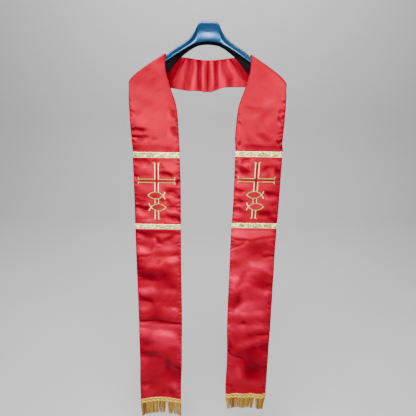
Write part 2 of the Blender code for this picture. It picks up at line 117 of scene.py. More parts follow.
# Height, place across, half height, half width in shares, rise in mm, slope.
FOLDS = {
    "left": (
        (-0.245, 0.80, 0.012, 0.30, -0.9, 0.10), (-0.288, 0.78, 0.010, 0.32, -1.2, -0.08),
        (-0.592, 0.45, 0.012, 0.34, 1.3, -0.25), (-0.640, 0.40, 0.020, 0.50, -1.6, 0.05),
        (-0.690, 0.60, 0.018, 0.60, 1.7, 0.03), (-0.780, 0.60, 0.030, 0.50, -1.8, 0.08),
        (-0.872, 0.50, 0.007, 0.90, 2.3, -0.09), (-0.905, 0.50, 0.014, 0.80, -1.7, -0.28),
        (-0.985, 0.62, 0.020, 0.40, 1.8, 0.10), (-1.070, 0.45, 0.022, 0.50, -1.5, -0.10),
    ),
    "right": (
        (-0.232, 0.50, 0.012, 0.50, 1.0, 0.04), (-0.300, 0.62, 0.012, 0.40, -1.2, -0.12),
        (-0.588, 0.50, 0.010, 0.80, 1.9, 0.05), (-0.640, 0.55, 0.016, 0.50, -1.5, -0.10),
        (-0.690, 0.55, 0.014, 0.50, -1.8, -0.30), (-0.745, 0.50, 0.020, 0.60, 1.9, 0.32),
        (-0.872, 0.50, 0.018, 0.80, -2.0, 0.02), (-0.925, 0.65, 0.012, 0.45, 1.5, -0.10),
        (-1.000, 0.40, 0.020, 0.50, -1.7, 0.12), (-1.080, 0.60, 0.020, 0.50, 1.3, -0.08),
    ),
}
# The fold over the arm from its back to its front, in shares of the wrap radius: depth, drop from the crest.
FOLD_SECTION = (
    (1.0, 1.0), (0.90, 0.57), (0.62, 0.20), (0.05, 0.02), (-0.72, 0.0), (-0.95, 0.10), (-1.0, 0.40),
    (-1.0, 1.0),
)
FOLD_WEIGHT = 0.04
HEM_SET_BACK = {"left": 0.0135, "right": 0.0020}
HEM_BOW_FROM = -0.70
EDGE_ROLL = 1.6 * MM
EMBLEM_AXIS = 0.1398
# How far each emblem's upright leans over to the right of the picture as it rises.
EMBLEM_LEAN = {"left": 0.012, "right": 0.030}
THREAD_WIDTH = 4.3 * MM
# A satin stitch's own thickness, and the width and thickness of a running stitch.
EMBLEM_THREAD = 0.00125
SEAM_THREAD = (0.00055, 0.00050)
# The strokes at the lines' ends are the short lines, and this share as wide.
SERIF_POINTS = 10
SERIF_WIDTH = 0.55
BAR_HALF_SPAN = 0.0508
BAR_HALF_GAP = 0.0047
POST_HALF_GAP = 0.0050
LOW_POST_HALF_GAP = 0.0050
POST_TOP = 0.0505
SERIF = 0.0032
FISH_HEIGHT = 0.0101
FISH_BODY = 0.0425
FISH_TAIL = 0.0102
FISH = {
    "upper": {"drop": -0.0423, "middle": -0.0032, "heading": -1.0},
    "lower": {"drop": -0.0772, "middle": 0.0048, "heading": 1.0},
}
FOOT_DROP = -0.1125
SEAM_GAP = 0.3 * MM
HEAD_HEIGHT = 0.0165
# The two cords of a braid head: drop, half height, half depth, length of a twist, whether it twists back.
CORDS = ((0.0029, 0.0038, 0.0023, 0.0150, False), (0.0120, 0.0041, 0.0025, 0.0150, True))
STRAND_LENGTH = {"left": 0.0530, "right": 0.0465}
STRAND_RADIUS = 0.00155
# Where the strands part, in shares across the hem: the wide gap, then the narrow one.
STRAND_GAPS = {"left": (0.365, 0.20), "right": (0.74, 0.60)}
TUFTS = 25
# The cloth's half thickness at its rim, and how far in from the edge it grows to the whole.
RIM_HALF = 0.00018
RIM_REACH = 0.0022
# Pitch and length of the running stitches, and how far in from the cloth's edges they run.
EDGE_STITCH = (0.0034, 0.0025)
BAND_STITCH = (0.0030, 0.0020)
EDGE_SEAM_INSET = 0.0032
HEM_SEAM_RISE = 0.009
BAND_SEAM_INSET = 0.0008
# The hanger outward from its middle: x, top, low end in front, low end behind, low end of the web.
HANGER_ROWS = (
    (0.0000, 0.0000, -0.0490, -0.0520, -0.0572), (0.0110, 0.0000, -0.0496, -0.0522, -0.0578),
    (0.0200, 0.0000, -0.0508, -0.0530, -0.0592), (0.0260, -0.0040, -0.0520, -0.0542, -0.0605),
    (0.0300, -0.0095, -0.0532, -0.0556, -0.0620), (0.0335, -0.0180, -0.0546, -0.0572, -0.0636),
    (0.0385, -0.0275, -0.0572, -0.0596, -0.0662), (0.0460, -0.0382, -0.0608, -0.0636, -0.0705),
    (0.0560, -0.0468, -0.0662, -0.0690, -0.0775), (0.0680, -0.0556, -0.0732, -0.0760, -0.0870),
    (0.0800, -0.0632, -0.0806, -0.0836, -0.0985), (0.0920, -0.0708, -0.0884, -0.0910, -0.1120),
    (0.1030, -0.0795, -0.0956, -0.0985, -0.1265), (0.1120, -0.0868, -0.1018, -0.1045, -0.1340),
    (0.1260, -0.0962, -0.1115, -0.1140, -0.1390), (0.1430, -0.1074, -0.1220, -0.1245, -0.1450),
    (0.1600, -0.1184, -0.1328, -0.1350, -0.1510), (0.1760, -0.1288, -0.1425, -0.1445, -0.1560),
    (0.1890, -0.1380, -0.1500, -0.1515, -0.1590), (0.1970, -0.1462, -0.1555, -0.1565, -0.1620),
)
ARM_END_DEPTH = -0.040
ARM_END_X = 0.205
ARM_CURVE = 1.15
HANGER_HALF_DEPTH = (0.0130, 0.0080)
HANGER_WALL = 2.4 * MM
WEB_HALF = 2.2 * MM

# The stage: half its width, its wall's place, bend and top, and the camera's sensor in mm.
STAGE_HALF = 6.0
WALL_BEHIND = 3.6
WALL_BEND = 0.9
WALL_TOP = 4.0
SENSOR_WIDTH = 36.0

# A crease that ends this near a panel's edge runs out over it.
INNER_REACH = 0.084
OUTER_REACH = 0.194

# Creases, listed: from x, drop to x, drop, half width, rise forward. All in millimetres.
CREASES = {
    "left": (
        (202, 232, 172, 232, 5, -0.9), (98, 223, 84, 246, 5, -1.5), (99, 268, 80, 292, 6, -1.9),
        (204, 279, 166, 278, 5, -1.8), (202, 299, 158, 297, 4.5, -2), (158, 297, 136, 303, 4, -1.1),
        (200, 330, 80, 332, 8, -1.2), (201, 359, 160, 371, 6, -1.9), (131, 396, 94, 407, 4.5, -2.3),
        (134, 372, 120, 385, 4, -1.4), (87, 420, 76, 424, 3, -1.6), (118, 449, 74, 466, 6, -2),
        (203, 480, 169, 484, 5, -1.9), (203, 492, 166, 504, 5, -1.6), (113, 493, 75, 505, 5, -2),
        (101, 524, 75, 536, 6, -1.6), (203, 576, 142, 589, 7, -1.8), (148, 590, 126, 611, 4.5, -2.2),
        (126, 600, 75, 578, 6, -1.5), (152, 616, 174, 637, 3.5, -1), (131, 660, 146, 675, 3.5, -1),
        (204, 649, 167, 648, 4, -1.6), (99, 647, 75, 643, 4, -1.3), (201, 700, 140, 740, 18, -1.6),
        (140, 700, 90, 760, 14, -1.2), (201, 780, 156, 807, 9, -1.5), (201, 763, 149, 763, 8, 1.2),
        (105, 822, 73, 838, 6, 1.3), (196, 825, 184, 824, 5, 0.9), (206, 868, 68, 877, 5, -3.4),
        (202, 905, 73, 955, 15, 1.6), (201, 978, 135, 1002, 9, -1.5), (118, 995, 117, 1059, 7, -1.3),
        (93, 1032, 72, 1042, 4, -1.2), (202, 1115, 176, 1115, 6, 1.2), (130, 1126, 130, 1145, 4, -1.2),
        (95, 1090, 85, 1140, 10, 1.2), (88, 430, 70, 419, 4.5, -2.2), (204, 404, 188, 414, 3.5, -1.8),
        (204, 498, 165, 505, 8, -1.6), (116, 474, 100, 490, 4, -1.6), (114, 519, 78, 537, 7, -1.5),
        (150, 360, 136, 372, 5, -1.3),
    ),
    "right": (
        (95, 217, 157, 217, 6, -0.8), (205, 224, 190, 226, 4, -1.5), (201, 245, 190, 247, 5, -1.8),
        (81, 257, 94, 257, 4, -1.8), (202, 306, 190, 308, 4, -1.9), (85, 311, 97, 311, 4, -1.9),
        (139, 287, 189, 304, 6, -1.4), (195, 324, 95, 325, 8, -1.2), (125, 352, 95, 369, 5, -1.9),
        (82, 375, 127, 397, 6, -1.8), (190, 379, 211, 395, 6, -1.6), (165, 448, 204, 462, 5, -1.8),
        (81, 472, 112, 479, 5, -1.6), (80, 502, 109, 506, 5, -1.8), (149, 504, 199, 530, 7, -1.6),
        (78, 590, 131, 594, 3.5, -1.6), (131, 594, 205, 579, 3.5, -1.6), (77, 622, 121, 596, 3, -1.5),
        (169, 633, 204, 633, 5, 1.2), (167, 645, 206, 644, 4, -1.3), (135, 663, 194, 696, 9, 1.3),
        (129, 689, 93, 749, 7, -0.8), (78, 722, 108, 722, 8, 1.1), (138, 738, 199, 737, 9, -1.3),
        (180, 767, 201, 767, 6, 1.1), (109, 762, 91, 833, 9, -1.5), (72, 880, 205, 892, 18, 1.8),
        (112, 866, 130, 868, 6, -1.5), (161, 907, 206, 906, 4, -1.5), (76, 930, 88, 959, 5, -1.3),
        (78, 974, 126, 1000, 4, -1.5), (185, 983, 204, 983, 6, 1.1), (76, 1095, 99, 1102, 4, -1.3),
        (120, 1010, 190, 1080, 20, -1), (155, 383, 176, 386, 6, -1.3), (76, 410, 90, 413, 3, -1.2),
        (75, 446, 110, 447, 4, -1.5), (186, 484, 204, 487, 4, -1.2), (90, 380, 124, 398, 7, -0.8),
    ),
}
# Broad soft slopes, listed: x, drop, half width, half height (mm), tilt up (+) or down (-).
PATCHES = {
    "left": (
        (187, 277, 22, 7, -1), (90, 277, 10, 15, -0.9), (184, 287, 22, 5, 0.5),
        (185, 296, 22, 5, -1), (120, 314, 33, 14, 0.3), (154, 367, 9, 17, -0.6),
        (172, 376, 26, 13, 0.7), (106, 379, 26, 15, 0.8), (109, 402, 24, 8, -1),
        (170, 402, 17, 6, -0.6), (107, 428, 26, 8, 0.7), (174, 438, 26, 9, 0.7), (98, 443, 18, 9, -0.8),
        (98, 462, 22, 9, 0.8), (172, 463, 22, 12, -0.7), (123, 475, 11, 8, -0.8), (181, 486, 23, 6, 0.7),
        (180, 497, 24, 7, -1), (92, 504, 17, 10, 0.7), (189, 518, 20, 10, 0.8), (114, 524, 17, 10, -0.8),
        (167, 538, 27, 7, 0.5), (139, 571, 73, 9, -1), (108, 623, 35, 17, 0.9),
        (183, 628, 30, 18, 1), (103, 658, 35, 14, 0.9), (89, 691, 20, 16, 0.5),
        (162, 704, 40, 28, -0.9), (180, 763, 27, 13, 0.8), (117, 768, 37, 18, 0.6),
        (180, 792, 27, 12, -0.8), (185, 823, 26, 10, 0.6), (105, 826, 37, 17, 0.8),
        (137, 858, 78, 10, -0.9), (160, 900, 58, 22, 1.45), (111, 918, 38, 21, 1.2),
        (177, 941, 38, 16, -0.8), (165, 990, 52, 16, -0.9), (85, 1005, 17, 26, 0.5),
        (116, 1023, 20, 40, -0.9), (177, 1029, 38, 24, 0.4), (89, 1043, 22, 12, -0.7),
        (165, 1089, 44, 20, -0.6), (98, 1104, 27, 20, 0.6), (189, 1118, 22, 17, 0.5),
    ),
    "right": (
        (202, 305, 7, 6, -0.9), (87, 310, 9, 6, -0.9), (144, 319, 54, 10, -0.6), (186, 362, 23, 9, 0.8),
        (98, 366, 18, 10, 0.8), (173, 375, 22, 8, -0.8), (105, 391, 22, 10, -0.6), (179, 427, 22, 7, 0.5),
        (106, 428, 22, 8, 0.8), (90, 445, 18, 5, -1), (182, 449, 24, 7, -1), (185, 464, 22, 7, 0.8),
        (91, 476, 18, 6, -0.8), (95, 488, 18, 6, 0.7), (103, 507, 23, 6, -1), (172, 509, 23, 9, -0.8),
        (98, 524, 17, 8, 0.6), (173, 531, 30, 7, -0.8), (141, 572, 78, 16, 1.3),
        (190, 601, 17, 13, 0.5), (139, 617, 48, 24, -1), (108, 660, 27, 18, 0.6),
        (170, 671, 40, 17, 1), (173, 715, 40, 21, -0.9), (89, 720, 18, 25, 0.6),
        (182, 763, 32, 13, 0.7), (95, 789, 21, 33, -1), (123, 809, 26, 20, 1),
        (142, 834, 72, 20, 1.5), (122, 870, 21, 7, -0.7), (110, 899, 28, 15, -0.4),
        (175, 907, 37, 20, -1), (175, 946, 21, 16, -0.6), (190, 977, 17, 21, 0.4),
        (109, 988, 30, 15, -0.8), (169, 1018, 30, 32, -0.6), (99, 1056, 27, 23, 0.4),
        (164, 1088, 44, 21, -0.6),
    ),
}
PATCH_SLOPE = 0.25
NECK_CREASES = {
    "left": (
        (0, 94, 1, 180, 1.8, -0.9), (13, 92, 12, 182, 5, 1.3), (24, 92, 24, 180, 3.4, -2.2),
        (34, 90, 37, 180, 6, 1.5), (48, 98, 52, 172, 6, -1.5), (62, 92, 70, 160, 6, 1.0),
        (69, 98, 100, 150, 3.2, -1.2),
    ),
    "right": (
        (0, 94, 1, 180, 1.8, -0.9), (11, 92, 12, 180, 5, 1.2), (22, 92, 24, 175, 3.2, -2.1),
        (32, 90, 35, 170, 6, 1.4), (41, 98, 65, 162, 7, -1.6), (54, 94, 82, 150, 6, 1.1),
        (76, 108, 107, 150, 3.2, -1.2),
    ),
}


# Sizes and colours that a user may change.


def colour_property(name, description, default):
    return FloatVectorProperty(
        name=name, description=description, default=default, subtype="COLOR", size=3, min=0.0, max=1.0,
    )


def power_property(name, description, default):
    return FloatProperty(name=name, description=description, default=default, unit="POWER")


class StoleSizes(bpy.types.PropertyGroup):
    """Sizes of the cloth's small forms and of the trims."""

    crease: FloatProperty(
        name="Crease depth", description="Share of the creases' own depths", default=1.0,
        min=0.0, max=2.0, subtype="FACTOR",
    )
    pucker: FloatProperty(
        name="Edge puckers", description="Depth of the small puckers along the sewn edges",
        default=0.0027, unit="LENGTH", precision=5,
    )
    row_step: FloatProperty(
        name="Row step", description="Distance between the cloth's rows of points",
        default=0.0032, unit="LENGTH", precision=4,
    )
    cells: IntProperty(
        name="Cells across", description="Cells of the cloth from edge to edge", default=52,
    )
    line_width: FloatProperty(
        name="Line width", description="Width of the embroidered lines", default=0.0043,
        unit="LENGTH", precision=4,
    )
    stitch_pitch: FloatProperty(
        name="Stitch pitch", description="Distance between two satin stitches",
        default=0.00062, unit="LENGTH", precision=5,
    )
    strands: IntProperty(
        name="Strands", description="Fringe strands in each of the two rows of one end", default=54,
    )


class StoleColours(bpy.types.PropertyGroup):
    """Colours of the stole and its hanger, scene linear."""

    satin: colour_property("Satin", "Colour of the cloth", (0.37, 0.0, 0.013))
    braid: colour_property("Bands", "Pale gold of the woven bands", (1.0, 0.96, 0.28))
    thread: colour_property("Embroidery", "Gold of the stitched lines", (1.0, 0.89, 0.42))
    fringe: colour_property("Fringe", "Deeper gold of the fringe", (0.52, 0.265, 0.003))
    shell: colour_property("Hanger shell", "Pearl blue of the shell", (0.0018, 0.028, 0.078))
    web: colour_property("Hanger web", "Dark plastic under the shell", (0.002, 0.0022, 0.0022))


class StoleStage(bpy.types.PropertyGroup):
    """Camera, light and floor."""

    lens: FloatProperty(
        name="Lens", description="Focal length on a 36 mm square", default=36.09, unit="CAMERA",
    )
    pitch: FloatProperty(
        name="Pitch", description="How far the camera looks down", default=math.radians(16.3),
        subtype="ANGLE",
    )
    roll: FloatProperty(
        name="Roll", description="Turn of the camera about its line of sight",
        default=math.radians(0.84), subtype="ANGLE",
    )
    place: FloatVectorProperty(
        name="Camera", description="Place of the camera", default=(0.0056, -1.19, -0.1625),
        subtype="TRANSLATION", unit="LENGTH", size=3,
    )
    floor: FloatProperty(
        name="Floor", description="Height of the floor", default=-1.42, unit="LENGTH",
    )
    key_power: power_property("Key light", "Power of the soft light above the camera", 46.0)
    fill_power: power_property("Fill light", "Power of each side light", 7.0)
    front_power: power_property("Front light", "Power of the light beside the camera", 17.0)
    backdrop_power: power_property("Backdrop light", "Power of the light on the backdrop", 60.0)
    world_light: FloatProperty(
        name="Surrounding light", description="Strength of the even light all round", default=0.10,
    )


# Surfaces of the cloth.


def eased(share):
    share = np.clip(share, 0.0, 1.0)
    return share * share * (3.0 - 2.0 * share)


def between(rows, column, at):
    """A named edge's value at heights, eased between the table's rows."""
    value = float(rows[0][column])
    for upper, lower in zip(rows, rows[1:]):
        share = eased((np.asarray(at, float) - upper[0]) / (lower[0] - upper[0]))
        value = value + (lower[column] - upper[column]) * share
    return value


def panel_edges(side, height):
    """The x of a panel's inner and outer edge at heights."""
    return between(EDGES[side], 1, height), between(EDGES[side], 2, height)


def arm_depth(x):
    return ARM_END_DEPTH * (np.abs(x) / ARM_END_X) ** ARM_CURVE


def main_relief(side, across, height):
    """The part's own folds: the same forms as the solids have."""
    rise = 0.0
    for middle, centre, half_height, half_width, top, slope in FOLDS[side]:
        line = middle + slope * (across - centre) * 0.13
        rise = rise + top * MM * np.exp(
            -(((height - line) / half_height) ** 2) - ((across - centre) / half_width) ** 2
        )
    bow = 1.0 - (2.0 * across - 1.0) ** 2
    fall = eased((HEM_BOW_FROM - height) / (HEM_BOW_FROM - HEIGHTS[side]["hem"]))
    ripple = 0.0022 * np.sin(5.2 * math.pi * across + 0.6) * fall if side == "right" else 0.0
    rolled = EDGE_ROLL * np.abs(2.0 * across - 1.0) ** 6
    return rise - HEM_SET_BACK[side] * bow * fall + ripple - rolled


def crease_relief(rows, x, height):
    """Soft creases along short lines: a hollow with a low ridge under it, faded where it ends inside."""
    rise = np.zeros(np.broadcast(x, height).shape)
    for x0, d0, x1, d1, half, top in rows:
        ax, az, bx, bz = x0 * MM, -d0 * MM, x1 * MM, -d1 * MM
        length = math.hypot(bx - ax, bz - az)
        ux, uz = (bx - ax) / length, (bz - az) / length
        if ux < 0.0:
            ux, uz, ax, az, bx, bz = -ux, -uz, bx, bz, ax, az
        along = ((x - ax) * ux + (height - az) * uz) / length
        below = (x - ax) * uz - (height - az) * ux
        width = half * MM * (0.75 + 0.6 * np.sin(math.pi * np.clip(along, 0.0, 1.0)))
        below = below + 0.30 * width * np.sin(6.0 * along + x0)
        fade = np.ones_like(rise)
        if ax > INNER_REACH:
            fade = fade * eased((along + 0.18) / 0.5)
        if bx < OUTER_REACH:
            fade = fade * eased((1.18 - along) / 0.5)
        form = np.exp(-((below / width) ** 2))
        if top < 0.0:
            form = form - 0.45 * np.exp(-(((below - 1.9 * width) / (1.4 * width)) ** 2))
        rise += top * MM * form * fade
    return rise


def patch_relief(side, x, height):
    """Broad patches that lean up to the light or down away from it: their rise, and their lean, which paints
    highlight and shade into the satin's colour.
    """
    rise = np.zeros(np.broadcast(x, height).shape)
    lean = np.zeros_like(rise)
    for middle, drop, wide, tall, tilt in PATCHES[side]:
        below = -height - drop * MM
        form = np.exp(-((below / (tall * MM)) ** 2) - ((x - middle * MM) / (wide * MM)) ** 2)
        rise += tilt * PATCH_SLOPE * below * form
        lean += tilt * form
    return rise, lean


def wander(seed, along, step):
    """Smooth values from -1 to 1 that vary along a line, the same each run."""
    values = np.random.RandomState(seed).uniform(-1.0, 1.0, 600)
    at = np.asarray(along) / step
    low = np.floor(at).astype(int) % 599
    share = eased(at - np.floor(at))
    return values[low] * (1.0 - share) + values[low + 1] * share


def edge_dents(seed, height, from_edge, depth):
    """Small puckers where the lining's seam draws the edge in, at uneven steps down the panel."""
    chance = np.random.RandomState(seed)
    dents = np.zeros(np.broadcast(height, from_edge).shape)
    at = -0.19
    while at > -1.17:
        at -= chance.uniform(0.008, 0.017)
        size, reach, tall, lean = chance.uniform((0.25, 0.004, 0.0016, -0.5), (1.0, 0.012, 0.0034, 0.5))
        line = height - at - lean * from_edge
        dents += size * np.exp(-((line / tall) ** 2) - (from_edge / reach) ** 2)
        dents -= 0.5 * size * np.exp(-(((line + 1.9 * tall) / tall) ** 2) - (from_edge / reach) ** 2)
    return -depth * dents


def aside_of_emblem(side, x, above):
    """How far a point of the panel is outward of the emblem's leaning axis."""
    return x - EMBLEM_AXIS - SIDES[side] * EMBLEM_LEAN[side] * above


def post_puckers(side, x, height):
    """Small dents where the stitching of the emblem's two upright lines draws the cloth between them."""
    above = height - HEIGHTS[side]["bar"]
    between_posts = np.exp(-((aside_of_emblem(side, x, above) / 0.0022) ** 4))
    reach = eased((above + 0.030) / 0.010) * eased((POST_TOP - above) / 0.006)
    return 0.55 * MM * (0.6 + 0.4 * np.cos(above * 2.0 * math.pi / 0.0043)) * between_posts * reach


def gap_shade_mask(side, x, height):
    """The narrow strips between the emblem's paired lines, where the stitching draws the cloth in: a mask
    for painted shade in the satin's colour.
    """
    above = height - HEIGHTS[side]["bar"]
    aside = aside_of_emblem(side, x, above)
    upright = np.exp(-((aside / 0.0025) ** 4)) * eased((above + 0.030) / 0.008)
    upright = upright * eased((POST_TOP - above) / 0.006)
    level = np.exp(-((above / 0.0022) ** 4)) * eased((BAR_HALF_SPAN - np.abs(aside)) / 0.006)
    return np.maximum(upright, 0.7 * level)


def small_relief(side, across, x, height, sizes):
    """Creases, edge puckers and a soft unevenness that only the visible cloth has."""
    rise = crease_relief(CREASES[side], x, height) + patch_relief(side, x, height)[0]
    rise = rise * sizes.crease
    rise = rise - post_puckers(side, x, height)
    seed = 11 if side == "left" else 37
    low = eased((-0.30 - height) / 0.3)
    for edge in (0.0, 1.0):
        from_edge = np.abs(across - edge) * PANEL_WIDTH
        rise = rise + edge_dents(seed + int(edge), height, from_edge, sizes.pucker)
    soft = wander(seed + 20, -height + 0.35 * x, 0.026) * wander(seed + 21, x + 0.3 * height, 0.034)
    fine = wander(seed + 22, -height - 0.5 * x, 0.011) * wander(seed + 23, x - 0.6 * height, 0.023)
    rise = rise + (0.9 + 1.3 * low) * MM * soft + 0.45 * MM * fine
    flat = 0.0
    for name in ("upper_band", "lower_band"):
        middle = HEIGHTS[side][name] - BAND_HEIGHT / 2.0
        flat = flat + np.exp(-(((height - middle) / (0.75 * BAND_HEIGHT)) ** 4))
    return rise * (1.0 - 0.85 * flat)


def band_waver(share):
    """How the edges of a band waver up and down across the panel."""
    return 0.35 * MM * wander(71, share * PANEL_WIDTH, 0.012)


def panel_depth(side, across, x, height, sizes):
    """Depth of the cloth's middle surface on a hanging panel."""
    return (
        PANEL_DEPTH - main_relief(side, across, height)
        - small_relief(side, across, x, height, sizes)
    )


def fold_line(across):
    u, v = across, 1.0 - across
    spots = []
    for a, k, b in zip(FOLD_INNER, FOLD_CORNER, FOLD_OUTER):
        near = a + (k - a) * 0.62
        spots.append(a * v**3 + 3 * near * u * v * v + 3 * k * u * u * v + b * u**3)
    return spots[0], arm_depth(spots[0]), spots[1]


def coarse_rows(side, across):
    """The half's middle surface at the solids' own rows, without relief, and each row's kind."""
    rows = []
    low_column = 5 if side == "left" else 6
    for row in NECK_ROWS:
        x = row[0] + (row[3] - row[0]) * across - (0.0002 if row is NECK_ROWS[0] else 0.0)
        y = row[1] + (row[4] - row[1]) * across + 0.0015 * np.sin(math.pi * across)
        z = row[2] + (row[low_column] - row[2]) * across
        rows.append((0.0, np.stack([x, y, z], 1)))
    fold_x, fold_y, fold_z = fold_line(across)
    for i, (aside, down) in enumerate(FOLD_SECTION):
        radius = WRAP_RADIUS * (1.0 - 0.12 * across)
        rows.append((1.0 + i / 7.0, np.stack([fold_x, fold_y + radius * aside, fold_z - radius * down], 1)))
    for inner_x, inner_z, outer_x, outer_z, corner in SHOULDER_ROWS:
        bulge = corner * 4.0 * across**3 * (1.0 - across)
        x = inner_x + (outer_x - inner_x) * across + 0.012 * bulge
        z = inner_z + (outer_z - inner_z) * across + 0.022 * bulge
        share = eased((z - fold_z) / (LEVEL_FROM - fold_z))
        start = arm_depth(x) - WRAP_RADIUS * (1.0 - 0.12 * across)
        rows.append((2.0, np.stack([x, start + (PANEL_DEPTH - start) * share, z], 1)))
    hem = HEIGHTS[side]["hem"]
    for height in np.linspace(LEVEL_FROM, hem, 41):
        inner, outer = panel_edges(side, height)
        x = inner + (outer - inner) * across
        rows.append((2.0, np.stack([x, np.full_like(x, PANEL_DEPTH), np.full_like(x, height)], 1)))
    return rows


def smooth_through(points, step):
    """Points resampled along the first axis by a Catmull-Rom spline, about one step apart."""
    middle = points.shape[1] // 2
    gaps = np.linalg.norm(np.diff(points[:, middle], axis=0), axis=1)
    out = []
    last = len(points) - 1
    for i, gap in enumerate(gaps):
        a, b, c, d = (points[k] for k in (max(i - 1, 0), i, i + 1, min(i + 2, last)))
        count = max(1, int(round(gap / step)))
        for k in range(count):
            t = k / count
            out.append(0.5 * (
                2.0 * b + (c - a) * t + (2.0 * a - 5.0 * b + 4.0 * c - d) * t * t
                + (3.0 * b - a - 3.0 * c + d) * t**3
            ))
    out.append(points[-1])
    return np.array(out)


def half_surface(side, sizes):
    """The visible cloth's middle surface as a grid, in the right half's own frame."""
    cells = sizes.cells
    across = (1.0 - np.cos(np.linspace(0.0, math.pi, cells + 1))) / 2.0
    across = 0.45 * across + 0.55 * np.linspace(0.0, 1.0, cells + 1)
    rows = coarse_rows(side, across)
    # The rows' kind counts as a small distance, so that the fold over the arm gets closer rows.
    carried = [np.concatenate([p, np.full((cells + 1, 1), kind * FOLD_WEIGHT)], 1) for kind, p in rows]
    grid = smooth_through(np.array(carried), sizes.row_step)
    points, kind = grid[..., :3].copy(), grid[..., 3] / FOLD_WEIGHT
    spread = np.broadcast_to(across, kind.shape)
    x, height = points[..., 0], points[..., 2]
    front = np.clip(kind - 1.0, 0.0, 1.0) ** 3
    back = np.clip(1.0 - kind, 0.0, 1.0)
    relief = main_relief(side, spread, height) + small_relief(side, spread, x, height, sizes)
    neck = crease_relief(NECK_CREASES[side], x, height) * sizes.crease
    near = np.exp(-((x - 0.0215) / 0.0060) ** 2) * (1.6 - 0.6 * spread)
    second = np.exp(-((x - 0.0460) / 0.0085) ** 2) * (0.4 + 1.0 * spread)
    third = np.exp(-((x - 0.0640) / 0.0070) ** 2) * 1.1 * spread
    neck = 0.8 * neck - (1.1 * near - 0.9 * second + 0.8 * third) * MM
    neck = neck * (0.75 + 0.35 * spread) + 0.7 * MM * wander(41, x + 0.25 * height, 0.017)
    points[..., 1] -= relief * front + neck * back
    # The fold values paint light and shade into the satin's colour: painted shade in the troughs of creases,
    # puckers and neck folds, and a painted highlight on their ridges and where broad patches lean up to the
    # light.
    patch, lean = patch_relief(side, x, height)
    fine = (small_relief(side, spread, x, height, sizes) - patch + 0.9 * MM * lean) * front + neck * back
    # Painted shade along the rim of the fold over the arm.
    fine = fine - 1.3 * MM * np.exp(-(((kind - 1.72) / 0.13) ** 2))
    # Painted shade in the narrow strips between the emblem's paired lines.
    fine = fine - 1.7 * MM * gap_shade_mask(side, x, height) * front
    return points, spread, np.clip(0.5 + fine / (4.5 * MM), 0.0, 1.0)


def grid_normals(points):
    down = np.gradient(points, axis=0)
    aside = np.gradient(points, axis=1)
    n = np.cross(aside, down)
    return n / np.maximum(np.linalg.norm(n, axis=2, keepdims=True), 1e-12)


def shell_faces(deep, wide):
    """Faces of a closed shell whose two grids follow one another, with its rim."""
    index = np.arange(deep * wide).reshape(deep, wide)
    a, b = index[:-1, :-1].ravel(), index[:-1, 1:].ravel()
    c, d = index[1:, 1:].ravel(), index[1:, :-1].ravel()
    layer = deep * wide
    sheets = [np.stack([a, b, c, d], 1), np.stack([a, d, c, b], 1) + layer]
    ring = np.concatenate([index[0, :], index[1:, -1], index[-1, -2::-1], index[-2:0:-1, 0]])
    after = np.roll(ring, -1)
    rim = np.stack([ring, ring + layer, after + layer, after], 1)
    return np.concatenate([*sheets, rim])


def add_mesh(name, verts, faces, looks, uv=None, crisp=None):
    """A mesh object at the origin, faces outward, with an optional UV for each vertex."""
    mesh = bpy.data.meshes.new(name)
    mesh.from_pydata([tuple(v) for v in verts], [], [tuple(int(k) for k in f) for f in faces])
    if uv is not None:
        layer = mesh.uv_layers.new(name="cloth")
        loops = np.empty(len(mesh.loops), np.int32)
        mesh.loops.foreach_get("vertex_index", loops)
        layer.data.foreach_set("uv", np.asarray(uv, np.float32)[loops].ravel())
    work = bmesh.new()
    work.from_mesh(mesh)
    bmesh.ops.recalc_face_normals(work, faces=work.faces[:])
    work.to_mesh(mesh)
    work.free()
    mesh.polygons.foreach_set("use_smooth", [True] * len(mesh.polygons))
    if crisp is not None:
        mesh.set_sharp_from_angle(angle=crisp)
    for look in looks:
        mesh.materials.append(look)
    return linked(name, mesh)


def linked(name, data):
    """A new object of the given data, in the scene."""
    made = bpy.data.objects.new(name, data)
    bpy.context.scene.collection.objects.link(made)
    return made


def smooth_piece(name, mesh):
    mesh.name = name
    mesh.polygons.foreach_set("use_smooth", [True] * len(mesh.polygons))
    return linked(name, mesh)


def mark(mesh, name, values):
    values = np.asarray(values, np.float32)
    mesh.attributes.new(name, "FLOAT", "POINT").data.foreach_set("value", values)


def set_on_root(piece, slot, *nodes):
    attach(piece, "root")
    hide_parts(*nodes)


# Materials.


def group_of(name, inputs, outputs, build, kind="ShaderNodeTree"):
    """A node group with named sockets, made once."""
    found = bpy.data.node_groups.get(name)
    if found:
        return found
    tree = bpy.data.node_groups.new(name, kind)
    for label, socket_kind, value in inputs:
        socket = tree.interface.new_socket(label, in_out="INPUT", socket_type=socket_kind)
        if value is not None:
            socket.default_value = value
    for label, socket_kind in outputs:
        tree.interface.new_socket(label, in_out="OUTPUT", socket_type=socket_kind)
    build(tree, tree.nodes.new("NodeGroupInput"), tree.nodes.new("NodeGroupOutput"))
    return tree


def math_node(tree, operation, a, b=None):
    node = tree.nodes.new("ShaderNodeMath")
    node.operation = operation
    for i, value in enumerate((a, b)):
        if value is None:
            continue
        if hasattr(value, "links"):
            tree.links.new(value, node.inputs[i])
        else:
            node.inputs[i].default_value = value
    return node.outputs[0]


def times(tree, a, b):
    return math_node(tree, "MULTIPLY", a, b)


def attribute(tree, name):
    """The values that a mesh carries under a name."""
    node = tree.nodes.new("ShaderNodeAttribute")
    node.attribute_name = name
    return node.outputs["Fac"]


def mix_colour(tree, share, a, b):
    node = tree.nodes.new("ShaderNodeMix")
    node.data_type = "RGBA"
    for socket, value in ((node.inputs[0], share), (node.inputs[6], a), (node.inputs[7], b)):
        if hasattr(value, "links"):
            tree.links.new(value, socket)
        elif socket.type == "RGBA":
            socket.default_value = (*value, 1.0)
        else:
            socket.default_value = value
    return node.outputs[2]


